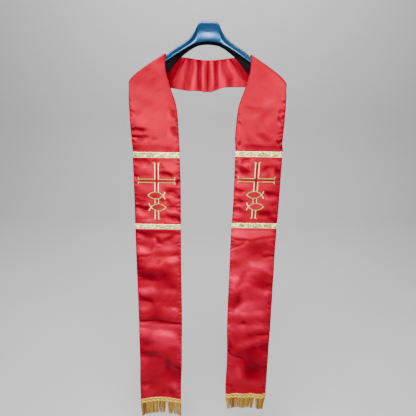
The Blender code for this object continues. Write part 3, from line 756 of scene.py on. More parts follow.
def noise_node(tree, vector, scale, detail=2.0, roughness=0.5):
    node = tree.nodes.new("ShaderNodeTexNoise")
    node.inputs["Scale"].default_value = scale
    node.inputs["Detail"].default_value = detail
    node.inputs["Roughness"].default_value = roughness
    tree.links.new(vector, node.inputs["Vector"])
    return node.outputs["Fac"]


def voronoi(tree, vector, scale, randomness, feature):
    """Cells in the cloth's own plane."""
    node = tree.nodes.new("ShaderNodeTexVoronoi")
    node.voronoi_dimensions = "2D"
    node.feature = feature
    node.inputs["Scale"].default_value = scale
    node.inputs["Randomness"].default_value = randomness
    tree.links.new(vector, node.inputs["Vector"])
    return node


def ranged(tree, value, low, high, out_low=0.0, out_high=1.0):
    node = tree.nodes.new("ShaderNodeMapRange")
    for i, number in enumerate((None, low, high, out_low, out_high)):
        if number is not None:
            node.inputs[i].default_value = number
    tree.links.new(value, node.inputs[0])
    return node.outputs[0]


def satin_weave_group():
    """Long floats of a satin weave: a height, and a mask of threads that catch more light."""

    def build(tree, entry, out):
        scaled = tree.nodes.new("ShaderNodeVectorMath")
        scaled.operation = "MULTIPLY"
        tree.links.new(entry.outputs["Vector"], scaled.inputs[0])
        scaled.inputs[1].default_value = (1.0, 0.14, 1.0)
        floats = noise_node(tree, scaled.outputs[0], 2600.0, 1.0)
        slubs = noise_node(tree, scaled.outputs[0], 420.0, 2.0)
        height = math_node(tree, "ADD", times(tree, floats, 0.7), times(tree, slubs, 0.5))
        tree.links.new(height, out.inputs["Height"])
        tree.links.new(ranged(tree, slubs, 0.38, 0.66), out.inputs["Slub"])

    return group_of(
        "satin_weave", [("Vector", "NodeSocketVector", None)],
        [("Height", "NodeSocketFloat"), ("Slub", "NodeSocketFloat")], build,
    )


def metal_thread_group():
    """Fine metallic threads: a height, a glint mask and a shade mask."""

    def build(tree, entry, out):
        wave = tree.nodes.new("ShaderNodeTexWave")
        wave.inputs["Scale"].default_value = 1.0
        wave.inputs["Distortion"].default_value = 0.6
        scaled = tree.nodes.new("ShaderNodeVectorMath")
        scaled.operation = "SCALE"
        tree.links.new(entry.outputs["Vector"], scaled.inputs[0])
        tree.links.new(entry.outputs["Scale"], scaled.inputs["Scale"])
        tree.links.new(scaled.outputs[0], wave.inputs["Vector"])
        glint = noise_node(tree, scaled.outputs[0], 1.7, 3.0, 0.7)
        shade = noise_node(tree, scaled.outputs[0], 0.21, 3.0, 0.6)
        tree.links.new(wave.outputs["Fac"], out.inputs["Height"])
        tree.links.new(ranged(tree, glint, 0.45, 0.68), out.inputs["Glint"])
        tree.links.new(ranged(tree, shade, 0.35, 0.65), out.inputs["Shade"])

    return group_of(
        "metal_thread",
        [("Vector", "NodeSocketVector", None), ("Scale", "NodeSocketFloat", 900.0)],
        [("Height", "NodeSocketFloat"), ("Glint", "NodeSocketFloat"), ("Shade", "NodeSocketFloat")],
        build,
    )


def new_look(name):
    """An empty material with its shader: returns the material, its tree and the shader."""
    look = bpy.data.materials.new(name)
    look.use_nodes = True
    return look, look.node_tree, look.node_tree.nodes["Principled BSDF"]


def place_group(tree, group, vector, scale=None):
    node = tree.nodes.new("ShaderNodeGroup")
    node.node_tree = group
    tree.links.new(vector, node.inputs["Vector"])
    if scale is not None:
        node.inputs["Scale"].default_value = scale
    return node


def coordinates(tree, kind):
    return tree.nodes.new("ShaderNodeTexCoord").outputs[kind]


def bump(tree, shader, height, strength, distance):
    node = tree.nodes.new("ShaderNodeBump")
    node.inputs["Strength"].default_value = strength
    node.inputs["Distance"].default_value = distance
    tree.links.new(height, node.inputs["Height"])
    tree.links.new(node.outputs[0], shader.inputs["Normal"])


def satin_look(colours):
    look, tree, shader = new_look("red_satin")
    uv = coordinates(tree, "UV")
    weave = place_group(tree, satin_weave_group(), uv)
    base = tuple(colours.satin)
    deep = tuple(c * 0.80 for c in base)
    broad = noise_node(tree, coordinates(tree, "Object"), 9.0, 3.0)
    cloth = mix_colour(tree, ranged(tree, broad, 0.35, 0.7), base, deep)
    cloth = mix_colour(tree, times(tree, weave.outputs["Slub"], 0.24), cloth, (0.42, 0.001, 0.026))
    # Painted shade and painted highlight from the fold values: deeper red in the troughs, lighter red on the
    # ridges and on patches that lean up to the light.
    fold = attribute(tree, "fold")
    hollow = ranged(tree, fold, 0.5, 0.05, 0.0, 0.88)
    cloth = mix_colour(tree, hollow, cloth, tuple(c * 0.34 for c in base))
    ridge = ranged(tree, fold, 0.53, 0.95, 0.0, 0.8)
    cloth = mix_colour(tree, ridge, cloth, (0.68, 0.0, 0.050))
    tree.links.new(cloth, shader.inputs["Base Color"])
    tree.links.new(ranged(tree, weave.outputs["Slub"], 0.0, 1.0, 0.43, 0.49), shader.inputs["Roughness"])
    shader.inputs["Metallic"].default_value = 0.38
    shader.inputs["Specular IOR Level"].default_value = 0.5
    shader.inputs["Specular Tint"].default_value = (1.0, 0.06, 0.16, 1.0)
    shader.inputs["Sheen Weight"].default_value = 0.03
    shader.inputs["Sheen Roughness"].default_value = 0.35
    shader.inputs["Sheen Tint"].default_value = (1.0, 0.20, 0.30, 1.0)
    bump(tree, shader, weave.outputs["Height"], 0.40, 0.00012)
    return look


def braid_look(colours):
    """Pale gold brocade: whitish borders, and a lively ground with olive and brown figures."""
    look, tree, shader = new_look("gold_braid")
    uv = coordinates(tree, "UV")
    thread = place_group(tree, metal_thread_group(), uv, 1500.0)
    parts = tree.nodes.new("ShaderNodeSeparateXYZ")
    tree.links.new(uv, parts.inputs[0])
    to_top = math_node(tree, "SUBTRACT", BAND_HEIGHT, parts.outputs["Y"])
    from_edge = math_node(tree, "MINIMUM", parts.outputs["Y"], to_top)
    inside = ranged(tree, from_edge, 0.0012, 0.0018)
    leaf = voronoi(tree, uv, 150.0, 0.9, "DISTANCE_TO_EDGE")
    outline = times(tree, ranged(tree, leaf.outputs["Distance"], 0.02, 0.08, 0.25, 0.0), inside)
    dots = voronoi(tree, uv, 150.0, 0.9, "F1")
    speck = ranged(tree, dots.outputs["Distance"], 0.31, 0.35, 1.0, 0.0)
    chosen = ranged(tree, noise_node(tree, uv, 90.0, 1.0, 0.6), 0.45, 0.47)
    dark = times(tree, times(tree, speck, chosen), inside)
    grains = voronoi(tree, uv, 330.0, 1.0, "F1")
    dense = attribute(tree, "dense")
    gathered = math_node(tree, "ADD", times(tree, dense, 0.30), noise_node(tree, uv, 60.0, 2.0, 0.6))
    cluster = ranged(tree, gathered, 0.54, 0.62)
    grain = ranged(tree, grains.outputs["Distance"], 0.40, 0.60, 1.0, 0.0)
    brown = times(tree, times(tree, grain, cluster), inside)
    amber = times(tree, ranged(tree, noise_node(tree, uv, 75.0, 2.0), 0.50, 0.56), inside)
    cloth = mix_colour(tree, inside, (1.0, 0.96, 0.62), tuple(colours.braid))
    cloth = mix_colour(tree, times(tree, amber, 0.9), cloth, (0.46, 0.40, 0.004))
    cloth = mix_colour(tree, outline, cloth, (0.34, 0.26, 0.010))
    cloth = mix_colour(tree, times(tree, brown, 0.85), cloth, (0.130, 0.072, 0.001))
    cloth = mix_colour(tree, times(tree, dark, 0.97), cloth, (0.050, 0.040, 0.001))
    cloth = mix_colour(tree, times(tree, thread.outputs["Glint"], 0.18), cloth, (1.0, 0.94, 0.60))
    tree.links.new(cloth, shader.inputs["Base Color"])
    shader.inputs["Metallic"].default_value = 0.10
    tree.links.new(ranged(tree, thread.outputs["Glint"], 0.0, 1.0, 0.42, 0.28), shader.inputs["Roughness"])
    raised = math_node(
        tree, "ADD", times(tree, thread.outputs["Height"], 0.4),
        times(tree, ranged(tree, leaf.outputs["Distance"], 0.0, 0.25), 0.8),
    )
    bump(tree, shader, raised, 0.7, 0.0003)
    return look


def thread_look(colours):
    """Metallic embroidery thread: pale gold on the crown of each stitch, and olive gold painted on as shade
    at its ends and along the level lines.
    """
    look, tree, shader = new_look("gold_thread")
    place = coordinates(tree, "Object")
    thread = place_group(tree, metal_thread_group(), place, 700.0)
    across = attribute(tree, "across")
    from_middle = math_node(tree, "ABSOLUTE", across)
    level = attribute(tree, "level")
    # Painted shade: the level lines turn olive gold and get less glint, as if they caught less light than
    # the upright lines.
    olive = ranged(tree, level, 0.45, 0.95, 0.0, 0.80)
    cloth = mix_colour(tree, olive, tuple(colours.thread), (0.42, 0.29, 0.015))
    cloth = mix_colour(tree, times(tree, thread.outputs["Shade"], 0.40), cloth, (0.66, 0.48, 0.07))
    glint = times(tree, thread.outputs["Glint"], ranged(tree, level, 0.3, 1.0, 0.6, 0.15))
    cloth = mix_colour(tree, glint, cloth, (1.0, 0.92, 0.58))
    # Painted shade in dark olive at both ends of each stitch, wider on the level lines.
    from_core = math_node(tree, "ADD", from_middle, times(tree, level, 0.13))
    cloth = mix_colour(tree, ranged(tree, from_core, 0.20, 0.32, 0.0, 0.96), cloth, (0.19, 0.125, 0.007))
    tree.links.new(cloth, shader.inputs["Base Color"])
    shader.inputs["Metallic"].default_value = 0.35
    shader.inputs["Roughness"].default_value = 0.30
    shader.inputs["Specular IOR Level"].default_value = 0.7
    bump(tree, shader, thread.outputs["Height"], 0.25, 0.00008)
    return look


def seam_look(colours):
    """Red sewing thread, a little deeper than the satin, with a twisted sheen."""
    look, tree, shader = new_look("red_thread")
    thread = place_group(tree, metal_thread_group(), coordinates(tree, "Object"), 1400.0)
    deep = tuple(c * 0.45 for c in colours.satin)
    cloth = mix_colour(tree, thread.outputs["Glint"], deep, tuple(c * 0.95 for c in colours.satin))
    tree.links.new(cloth, shader.inputs["Base Color"])
    shader.inputs["Roughness"].default_value = 0.42
    shader.inputs["Specular Tint"].default_value = (1.0, 0.15, 0.22, 1.0)
    bump(tree, shader, thread.outputs["Height"], 0.3, 0.00005)
    return look


def fringe_look(colours):
    """Gold fringe: a painted highlight on the crests of its twist, painted brown shade in the hollows, and
    pale lit threads as painted highlights.
    """
    look, tree, shader = new_look("gold_fringe")
    place = coordinates(tree, "Object")
    thread = place_group(tree, metal_thread_group(), place, 620.0)
    crest = attribute(tree, "crest")
    tone = attribute(tree, "tone")
    base = tuple(colours.fringe)
    # Strands of low tone turn dark brown: random tone, and painted shade on the back row, whose tones are
    # lowered.
    cloth = mix_colour(tree, ranged(tree, tone, 0.62, 0.1, 0.0, 0.95), base, (0.085, 0.030, 0.001))
    rope = ranged(tree, tone, 1.05, 1.2)
    cloth = mix_colour(tree, rope, cloth, (0.84, 0.44, 0.003))
    cloth = mix_colour(tree, times(tree, thread.outputs["Shade"], 0.30), cloth, (0.34, 0.15, 0.004))
    # Painted shade: dark brown in the hollows between the plies and on the strip behind the cords.
    cloth = mix_colour(tree, ranged(tree, crest, 0.66, 0.0, 0.0, 0.95), cloth, (0.06, 0.020, 0.001))
    pale = ranged(tree, tone, 0.80, 1.0, 0.0, 0.6)
    pale = math_node(tree, "ADD", pale, times(tree, thread.outputs["Glint"], 0.22))
    # Painted highlight: pale gold on the crests of the paler strands.
    lit = times(tree, pale, ranged(tree, crest, 0.6, 0.95))
    lit = times(tree, lit, ranged(tree, rope, 0.0, 1.0, 1.0, 0.35))
    cloth = mix_colour(tree, lit, cloth, (1.0, 0.78, 0.22))
    tree.links.new(cloth, shader.inputs["Base Color"])
    shader.inputs["Metallic"].default_value = 0.1
    shader.inputs["Roughness"].default_value = 0.36
    shader.inputs["Specular IOR Level"].default_value = 0.65
    bump(tree, shader, thread.outputs["Height"], 0.3, 0.0001)
    return look


def shell_look(colours):
    """Pearl blue plastic: metallic flakes under a clear gloss."""
    look, tree, shader = new_look("blue_plastic")
    place = coordinates(tree, "Object")
    flakes = ranged(tree, noise_node(tree, place, 2400.0, 1.0), 0.55, 0.75)
    cloudy = noise_node(tree, place, 26.0, 2.0)
    lighter = tuple(c * 1.35 for c in colours.shell)
    paint = mix_colour(tree, ranged(tree, cloudy, 0.3, 0.75), tuple(colours.shell), lighter)
    paint = mix_colour(tree, times(tree, flakes, 0.30), paint, (0.03, 0.26, 0.42))
    # Darker where the surface turns away from the camera: a pearl's flip-flop, which here also stands in for
    # the dark surroundings' reflection along the shell's edges, a painted reflection.
    turned = tree.nodes.new("ShaderNodeLayerWeight")
    turned.inputs["Blend"].default_value = 0.35
    away = ranged(tree, turned.outputs["Facing"], 0.12, 0.60, 0.0, 0.95)
    paint = mix_colour(tree, away, paint, (0.002, 0.008, 0.018))
    tree.links.new(paint, shader.inputs["Base Color"])
    shader.inputs["Metallic"].default_value = 0.80
    tree.links.new(ranged(tree, flakes, 0.0, 1.0, 0.35, 0.29), shader.inputs["Roughness"])
    shader.inputs["Coat Weight"].default_value = 0.55
    shader.inputs["Coat Roughness"].default_value = 0.20
    shader.inputs["Coat Tint"].default_value = (0.75, 0.97, 1.0, 1.0)
    bump(tree, shader, cloudy, 0.05, 0.0004)
    return look


def web_look(colours):
    """Black moulded plastic with a fine grain."""
    look, tree, shader = new_look("black_plastic")
    place = coordinates(tree, "Object")
    grain = noise_node(tree, place, 900.0, 2.0)
    smudge = noise_node(tree, place, 30.0, 2.0)
    paint = mix_colour(tree, ranged(tree, smudge, 0.4, 0.7), tuple(colours.web), (0.005, 0.0055, 0.0055))
    tree.links.new(paint, shader.inputs["Base Color"])
    tree.links.new(ranged(tree, smudge, 0.3, 0.7, 0.66, 0.80), shader.inputs["Roughness"])
    shader.inputs["Specular IOR Level"].default_value = 0.03
    bump(tree, shader, grain, 0.12, 0.0001)
    return look


def plain_look(name, colour, roughness):
    """A studio surface with a faint unevenness."""
    look, tree, shader = new_look(name)
    mottle = noise_node(tree, coordinates(tree, "Object"), 1.2, 2.0)
    paint = mix_colour(tree, ranged(tree, mottle, 0.3, 0.7), colour, tuple(c * 0.97 for c in colour))
    tree.links.new(paint, shader.inputs["Base Color"])
    shader.inputs["Roughness"].default_value = roughness
    return look


# Repeated pieces by geometry nodes.


def repeat_tree(name, inputs, build):
    """A geometry node tree with a geometry in and out and named inputs for its sizes."""
    geometry = ("Geometry", "NodeSocketGeometry")
    tree = group_of(name, ((*geometry, None), *inputs), (geometry,), build, "GeometryNodeTree")
    tree.is_modifier = True
    return tree


def applied(base, tree, values):
    """The plain mesh that the tree makes from the base object, which is then removed."""
    modifier = base.modifiers.new(tree.name, "NODES")
    modifier.node_group = tree
    for item in tree.interface.items_tree:
        if item.item_type == "SOCKET" and item.in_out == "INPUT" and item.name in values:
            modifier[item.identifier] = values[item.name]
    bpy.context.view_layer.update()
    mesh = bpy.data.meshes.new_from_object(base.evaluated_get(bpy.context.evaluated_depsgraph_get()))
    bpy.data.objects.remove(base)
    return mesh


def stitch_tree():
    """Stitches on a line: one rounded thread at each step, as long and as wide as asked."""

    def build(tree, entry, out):
        nodes, link = tree.nodes, tree.links.new
        curve = nodes.new("GeometryNodeMeshToCurve")
        link(entry.outputs["Geometry"], curve.inputs[0])
        even = nodes.new("GeometryNodeResampleCurve")
        even.mode = "LENGTH"
        link(curve.outputs[0], even.inputs["Curve"])
        link(entry.outputs["Pitch"], even.inputs["Length"])
        tangent = nodes.new("GeometryNodeInputTangent")
        turn = nodes.new("FunctionNodeAlignRotationToVector")
        turn.axis, turn.pivot_axis = "X", "Y"
        link(tangent.outputs[0], turn.inputs["Vector"])
        thread = nodes.new("GeometryNodeMeshUVSphere")
        thread.inputs["Segments"].default_value = 6
        thread.inputs["Rings"].default_value = 5
        thread.inputs["Radius"].default_value = 0.5
        across = nodes.new("ShaderNodeSeparateXYZ")
        link(nodes.new("GeometryNodeInputPosition").outputs[0], across.inputs[0])
        marked = nodes.new("GeometryNodeStoreNamedAttribute")
        marked.data_type = "FLOAT"
        marked.inputs["Name"].default_value = "across"
        link(thread.outputs[0], marked.inputs["Geometry"])
        link(across.outputs["Z"], marked.inputs["Value"])
        share = nodes.new("GeometryNodeInputNamedAttribute")
        share.data_type = "FLOAT"
        share.inputs["Name"].default_value = "wide"
        width = nodes.new("ShaderNodeMath")
        width.operation = "MULTIPLY"
        link(entry.outputs["Width"], width.inputs[0])
        link(share.outputs["Attribute"], width.inputs[1])
        sized = nodes.new("ShaderNodeCombineXYZ")
        link(entry.outputs["Along"], sized.inputs["X"])
        link(entry.outputs["Thickness"], sized.inputs["Y"])
        link(width.outputs[0], sized.inputs["Z"])
        spread = nodes.new("FunctionNodeRandomValue")
        spread.data_type = "FLOAT"
        spread.inputs[2].default_value, spread.inputs[3].default_value = 0.93, 1.07
        link(entry.outputs["Seed"], spread.inputs["Seed"])
        varied = nodes.new("ShaderNodeVectorMath")
        varied.operation = "SCALE"
        link(sized.outputs[0], varied.inputs[0])
        link(spread.outputs[1], varied.inputs["Scale"])
        place = nodes.new("GeometryNodeInstanceOnPoints")
        link(even.outputs[0], place.inputs["Points"])
        link(marked.outputs[0], place.inputs["Instance"])
        link(turn.outputs[0], place.inputs["Rotation"])
        link(varied.outputs[0], place.inputs["Scale"])
        real = nodes.new("GeometryNodeRealizeInstances")
        link(place.outputs[0], real.inputs[0])
        painted = nodes.new("GeometryNodeSetMaterial")
        link(real.outputs[0], painted.inputs["Geometry"])
        link(entry.outputs["Material"], painted.inputs["Material"])
        link(painted.outputs[0], out.inputs[0])

    return repeat_tree("line_of_stitches", (
        ("Pitch", "NodeSocketFloat", 0.0006), ("Width", "NodeSocketFloat", 0.0043),
        ("Along", "NodeSocketFloat", 0.0009),
        ("Thickness", "NodeSocketFloat", 0.0009), ("Seed", "NodeSocketInt", 3),
        ("Material", "NodeSocketMaterial", None),
    ), build)


def strand_tree():
    """Fringe strands: one twisted strand at each point, leaning and reaching as the point says."""

    def build(tree, entry, out):
        nodes, link = tree.nodes, tree.links.new
        points = nodes.new("GeometryNodeMeshToPoints")
        link(entry.outputs["Geometry"], points.inputs["Mesh"])
        lean = nodes.new("GeometryNodeInputNamedAttribute")
        lean.data_type = "FLOAT_VECTOR"
        lean.inputs["Name"].default_value = "lean"
        reach = nodes.new("GeometryNodeInputNamedAttribute")
        reach.data_type = "FLOAT_VECTOR"
        reach.inputs["Name"].default_value = "reach"
        turn = nodes.new("FunctionNodeEulerToRotation")
        link(lean.outputs["Attribute"], turn.inputs[0])
        place = nodes.new("GeometryNodeInstanceOnPoints")
        info = nodes.new("GeometryNodeObjectInfo")
        link(entry.outputs["Strand"], info.inputs["Object"])
        link(points.outputs[0], place.inputs["Points"])
        link(info.outputs["Geometry"], place.inputs["Instance"])
        link(turn.outputs[0], place.inputs["Rotation"])
        link(reach.outputs["Attribute"], place.inputs["Scale"])
        real = nodes.new("GeometryNodeRealizeInstances")
        link(place.outputs[0], real.inputs[0])
        painted = nodes.new("GeometryNodeSetMaterial")
        link(real.outputs[0], painted.inputs["Geometry"])
        link(entry.outputs["Material"], painted.inputs["Material"])
        link(painted.outputs[0], out.inputs[0])

    return repeat_tree("fringe_strands", (
        ("Strand", "NodeSocketObject", None), ("Material", "NodeSocketMaterial", None),
    ), build)


def polyline_object(name, lines, widths):
    """Edges along the given lines for a tree, marked with each line's width and how level it runs."""
    verts, edges, wide, level = [], [], [], []
    for line, width in zip(lines, widths):
        start = len(verts)
        verts += [tuple(p) for p in line]
        wide += [width] * len(line)
        way = np.gradient(np.asarray(line), axis=0)
        level += list(np.abs(way[:, 0]) / np.maximum(np.linalg.norm(way, axis=1), 1e-9))
        edges += [(start + k, start + k + 1) for k in range(len(line) - 1)]
    mesh = bpy.data.meshes.new(name)
    mesh.from_pydata(verts, edges, [])
    mark(mesh, "wide", wide)
    mark(mesh, "level", level)
    return linked(name, mesh)


def divided(line, step=0.003):
    out = [line[0]]
    for a, b in zip(line, line[1:]):
        count = max(1, math.ceil(math.dist(a, b) / step))
        out += [tuple(p + (q - p) * k / count for p, q in zip(a, b)) for k in range(1, count + 1)]
    return out


# The emblem's lines.


def fish_arcs(fish):
    half = FISH_BODY / 2.0
    radius = (half**2 + FISH_HEIGHT**2) / (2.0 * FISH_HEIGHT)
    centre = FISH_HEIGHT - radius
    start = math.atan2(-centre, -half)
    end = math.asin((-FISH_TAIL - centre) / radius)
    lines = []
    for flip in (1.0, -1.0):
        line = []
        for i in range(29):
            turn = start + (end - start) * i / 28.0
            x = -fish["heading"] * radius * math.cos(turn) + fish["middle"]
            line.append((x, flip * (centre + radius * math.sin(turn)) + fish["drop"]))
        lines.append(line)
    return lines


def serif(x, z, out_x, out_z):
    """A short crossing stroke at the end of a line: mostly on its outer side."""
    size = SERIF + THREAD_WIDTH / 2.0
    inner = 0.30 * size
    return divided([
        (x + out_x * size, z + out_z * size), (x - out_x * inner, z - out_z * inner),
    ], 0.001)


def emblem_lines():
    """Thread lines by the node they stand for: the long lines first, then the strokes at their ends."""
    upper = {}
    for name, way in (("upper_a", -1.0), ("upper_b", 1.0)):
        long = divided([
            (way * POST_HALF_GAP, POST_TOP), (way * POST_HALF_GAP, BAR_HALF_GAP),
            (way * BAR_HALF_SPAN, BAR_HALF_GAP),
        ])
        upper[name] = [
            long, serif(way * POST_HALF_GAP, POST_TOP, way, 0.12),
            serif(way * BAR_HALF_SPAN, BAR_HALF_GAP, 0.12 * way, 1.0),
        ]
    top_of = {name: fish["drop"] + FISH_HEIGHT for name, fish in FISH.items()}
    low_of = {name: fish["drop"] - FISH_HEIGHT for name, fish in FISH.items()}
    low, ends = [], []
    for way in (-1.0, 1.0):
        post = way * LOW_POST_HALF_GAP
        low.append(divided([
            (way * BAR_HALF_SPAN, -BAR_HALF_GAP), (post, -BAR_HALF_GAP), (post, top_of["upper"]),
        ]))
        low.append(divided([(post, low_of["upper"]), (post, top_of["lower"])]))
        low.append(divided([(post, low_of["lower"]), (post, FOOT_DROP)]))
        ends.append(serif(way * BAR_HALF_SPAN, -BAR_HALF_GAP, 0.12 * way, -1.0))
        ends.append(serif(post, FOOT_DROP, way, -0.12))
    for fish in FISH.values():
        low += fish_arcs(fish)
    return {**upper, "lower": low + ends}


def on_cloth(side, line, sizes, lift):
    """Points of a line of (x from the emblem's axis, rise from its bar), set on the cloth's front."""
    sign = SIDES[side]
    x = sign * EMBLEM_AXIS + np.array([p[0] + EMBLEM_LEAN[side] * p[1] for p in line])
    height = HEIGHTS[side]["bar"] + np.array([p[1] for p in line])
    inner, outer = panel_edges(side, height)
    share = (sign * x - inner) / (outer - inner)
    depth = panel_depth(side, share, np.abs(x), height, sizes) - WALL / 2.0 - lift
    return np.stack([x, depth, height], 1)


# Operators.


class STOLE_OT_cloth(bpy.types.Operator):
    """Make the two satin halves: neck piece, fold over the arm and front panel, with their creases"""

    bl_idname = "stole.cloth"
    bl_label = "Satin halves"

    def execute(self, context):
        sizes, colours = context.scene.stole_sizes, context.scene.stole_colours
        satin = satin_look(colours)
        for side, sign in SIDES.items():
            points, across, fold = half_surface(side, sizes)
            normal = grid_normals(points)
            near_edge = np.minimum(across, 1.0 - across) * PANEL_WIDTH
            half = RIM_HALF + (WALL / 2.0 - RIM_HALF) * np.sqrt(
                np.clip(1.0 - (1.0 - np.clip(near_edge / RIM_REACH, 0.0, 1.0)) ** 2, 0.0, 1.0)
            )
            run = np.linalg.norm(np.diff(points, axis=0), axis=2)
            along = np.concatenate([np.zeros((1, run.shape[1])), np.cumsum(run, axis=0)])
            from_end = along[-1] - along
            rounded = np.clip(np.minimum(along, from_end) / 0.0015, 0.15, 1.0)
            half = (half * np.sqrt(rounded))[..., None]
            sheets = np.concatenate([
                (points + normal * half).reshape(-1, 3), (points - normal * half).reshape(-1, 3),
            ])
            sheets[:, 0] *= sign
            uv = np.stack([across * PANEL_WIDTH, along], 2).reshape(-1, 2)
            deep, wide = points.shape[:2]
            piece = add_mesh(
                f"satin_half_{side}", sheets, shell_faces(deep, wide), [satin],
                np.concatenate([uv, uv]),
            )
            # The fold values carry the painted shade and painted highlight for the satin's colour.
            mark(piece.data, "fold", np.tile(fold.ravel(), 2))
            set_on_root(piece, "red_satin", f"stole_half_{side}")
        return {"FINISHED"}


class STOLE_OT_bands(bpy.types.Operator):
    """Make the four woven gold bands that cross the panels"""

    bl_idname = "stole.bands"
    bl_label = "Gold bands"

    def execute(self, context):
        sizes, colours = context.scene.stole_sizes, context.scene.stole_colours
        look = braid_look(colours)
        for side, sign in SIDES.items():
            for place in ("upper", "lower"):
                top = HEIGHTS[side][f"{place}_band"]
                across = np.linspace(0.0, 1.0, 91)
                down = np.linspace(0.0, 1.0, 15)
                ribs = np.abs(np.sin(down * math.pi * 5.0))[:, None]
                height = top - BAND_HEIGHT * down[:, None] + 0.0 * across[None, :]
                waver = band_waver(across)
                height = height + waver[None, :]
                inner, outer = panel_edges(side, height)
                x = inner + (outer - inner) * across[None, :]
                depth = panel_depth(side, across[None, :] + 0.0 * height, x, height, sizes)
                edge = np.minimum(down, 1.0 - down)[:, None] / 0.08
                swell = BAND_THICK * np.clip(edge, 0.35, 1.0) * (0.9 + 0.1 * ribs)
                back = depth - WALL / 2.0 - 0.05 * MM
                verts = np.concatenate([
                    np.stack([sign * x, back - swell, height], 2).reshape(-1, 3),
                    np.stack([sign * x, back, height], 2).reshape(-1, 3),
                ])
                run = across[None, :] * PANEL_WIDTH + (0.4 if side == "left" else 0.0) + 0.0 * height
                uv = np.stack([run + (0.2 if place == "lower" else 0.0), top - height + waver], 2)
                uv = uv.reshape(-1, 2)
                piece = add_mesh(
                    f"woven_band_{place}_{side}", verts, shell_faces(*height.shape), [look],
                    np.concatenate([uv, uv]),
                )
                dense = sum(np.exp(-(((across - m) / w) ** 2)) for m, w in DENSE_FIGURES[side][place])
                mark(piece.data, "dense", np.tile(np.broadcast_to(dense, height.shape).ravel(), 2))
                set_on_root(piece, "gold_braid", f"band_{place}_{side}")
        return {"FINISHED"}


class STOLE_OT_emblems(bpy.types.Operator):
    """Make the embroidered cross and fish on each panel, stitch by stitch"""

    bl_idname = "stole.emblems"
    bl_label = "Embroidery"

    def execute(self, context):
        sizes, colours = context.scene.stole_sizes, context.scene.stole_colours
        look = thread_look(colours)
        for side in SIDES:
            for n, (part, lines) in enumerate(emblem_lines().items()):
                piece = stitched_piece(
                    f"stitched_{side}_{part}", [on_cloth(side, line, sizes, 0.25 * MM) for line in lines],
                    [SERIF_WIDTH if len(line) < SERIF_POINTS else 1.0 for line in lines], look, 3 + n,
                    (sizes.stitch_pitch, sizes.line_width, EMBLEM_THREAD, EMBLEM_THREAD),
                )
                set_on_root(piece, "gold_thread", f"emblem_{side}_{part}")
        return {"FINISHED"}


def stitched_piece(name, lines, widths, look, seed, stitch):
    """Stitches along the given lines, as one piece: the stitch is its pitch, width, length and thickness."""
    values = dict(zip(("Pitch", "Width", "Along", "Thickness"), stitch))
    base = polyline_object("line", lines, widths)
    return smooth_piece(name, applied(base, stitch_tree(), {**values, "Seed": seed, "Material": look}))


def running_stitches(name, lines, look, pitch, length, seed):
    """Plain stitches along the given lines, one after another, as one piece."""
    width, thickness = SEAM_THREAD
    stitch = (pitch, width, length, thickness)
    return stitched_piece(name, lines, [1.0] * len(lines), look, seed, stitch)


class STOLE_OT_seams(bpy.types.Operator):
    """Make the running stitches along the cloth's edges, above its hems and on the bands"""

    bl_idname = "stole.seams"
    bl_label = "Running stitches"

    def execute(self, context):
        sizes, colours = context.scene.stole_sizes, context.scene.stole_colours
        red = seam_look(colours)
        gold = bpy.data.materials.get("gold_thread") or thread_look(colours)
        for side, sign in SIDES.items():
            points, across, _ = half_surface(side, sizes)
            normal = grid_normals(points)
            if normal[-1, sizes.cells // 2, 1] > 0.0:
                normal = -normal
            outer_face = points + normal * (WALL / 2.0 + 0.05 * MM)
            outer_face[..., 0] *= sign
            from_hem = points[..., 2] - HEIGHTS[side]["hem"]
            above = int(np.argmax(from_hem[:, sizes.cells // 2] < HEM_SEAM_RISE))
            lines = []
            for edge in (0.0, 1.0):
                column = int(np.argmin(np.abs(np.abs(across[0] - edge) * PANEL_WIDTH - EDGE_SEAM_INSET)))
                lines.append(outer_face[4:above, column])
            lines.append(outer_face[above, 3:-3])
            piece = running_stitches(f"edge_stitches_{side}", lines, red, *EDGE_STITCH, 21)
            set_on_root(piece, "red_satin")
            lines = []
            for place in ("upper", "lower"):
                for drop in (BAND_SEAM_INSET, BAND_HEIGHT - BAND_SEAM_INSET):
                    share = np.linspace(0.02, 0.98, 60)
                    height = HEIGHTS[side][f"{place}_band"] - drop + 0.0 * share
                    inner, outer = panel_edges(side, height)
                    x = inner + (outer - inner) * share
                    depth = panel_depth(side, share, x, height, sizes) - WALL / 2.0 - 0.75 * MM
                    height = height + band_waver(share)
                    lines.append(np.stack([sign * x, depth, height], 1))
            piece = running_stitches(f"band_stitches_{side}", lines, gold, *BAND_STITCH, 22)
            set_on_root(piece, "gold_thread")
        return {"FINISHED"}


def rope_mesh(path, radius_up, radius_out, pitch, reverse=False):
    """A flattened cord of two twisted plies along a path, closed at both ends: points, faces, crests."""
    plies, sides, depth = 2, 18, 0.38
    run = np.concatenate([[0.0], np.cumsum(np.linalg.norm(np.diff(path, axis=0), axis=1))])
    verts, faces, crests = [], [], []
    for point, at in zip(path, run):
        twist = 2.0 * math.pi * at / pitch * (-1.0 if reverse else 1.0)
        for k in range(sides):
            turn = 2.0 * math.pi * k / sides
            crest = abs(math.cos((plies * turn - twist) / 2.0))
            swell = 1.0 - depth * (1.0 - crest)
            verts.append((
                point[0], point[1] + radius_out * swell * math.cos(turn),
                point[2] + radius_up * swell * math.sin(turn),
            ))
            crests.append(crest)
    for i in range(len(path) - 1):
        for k in range(sides):
            a, b = i * sides + k, i * sides + (k + 1) % sides
            faces.append((a, b, b + sides, a + sides))
    faces.append(tuple(range(sides)))
    last = (len(path) - 1) * sides
    faces.append(tuple(reversed(range(last, last + sides))))
    return verts, faces, crests


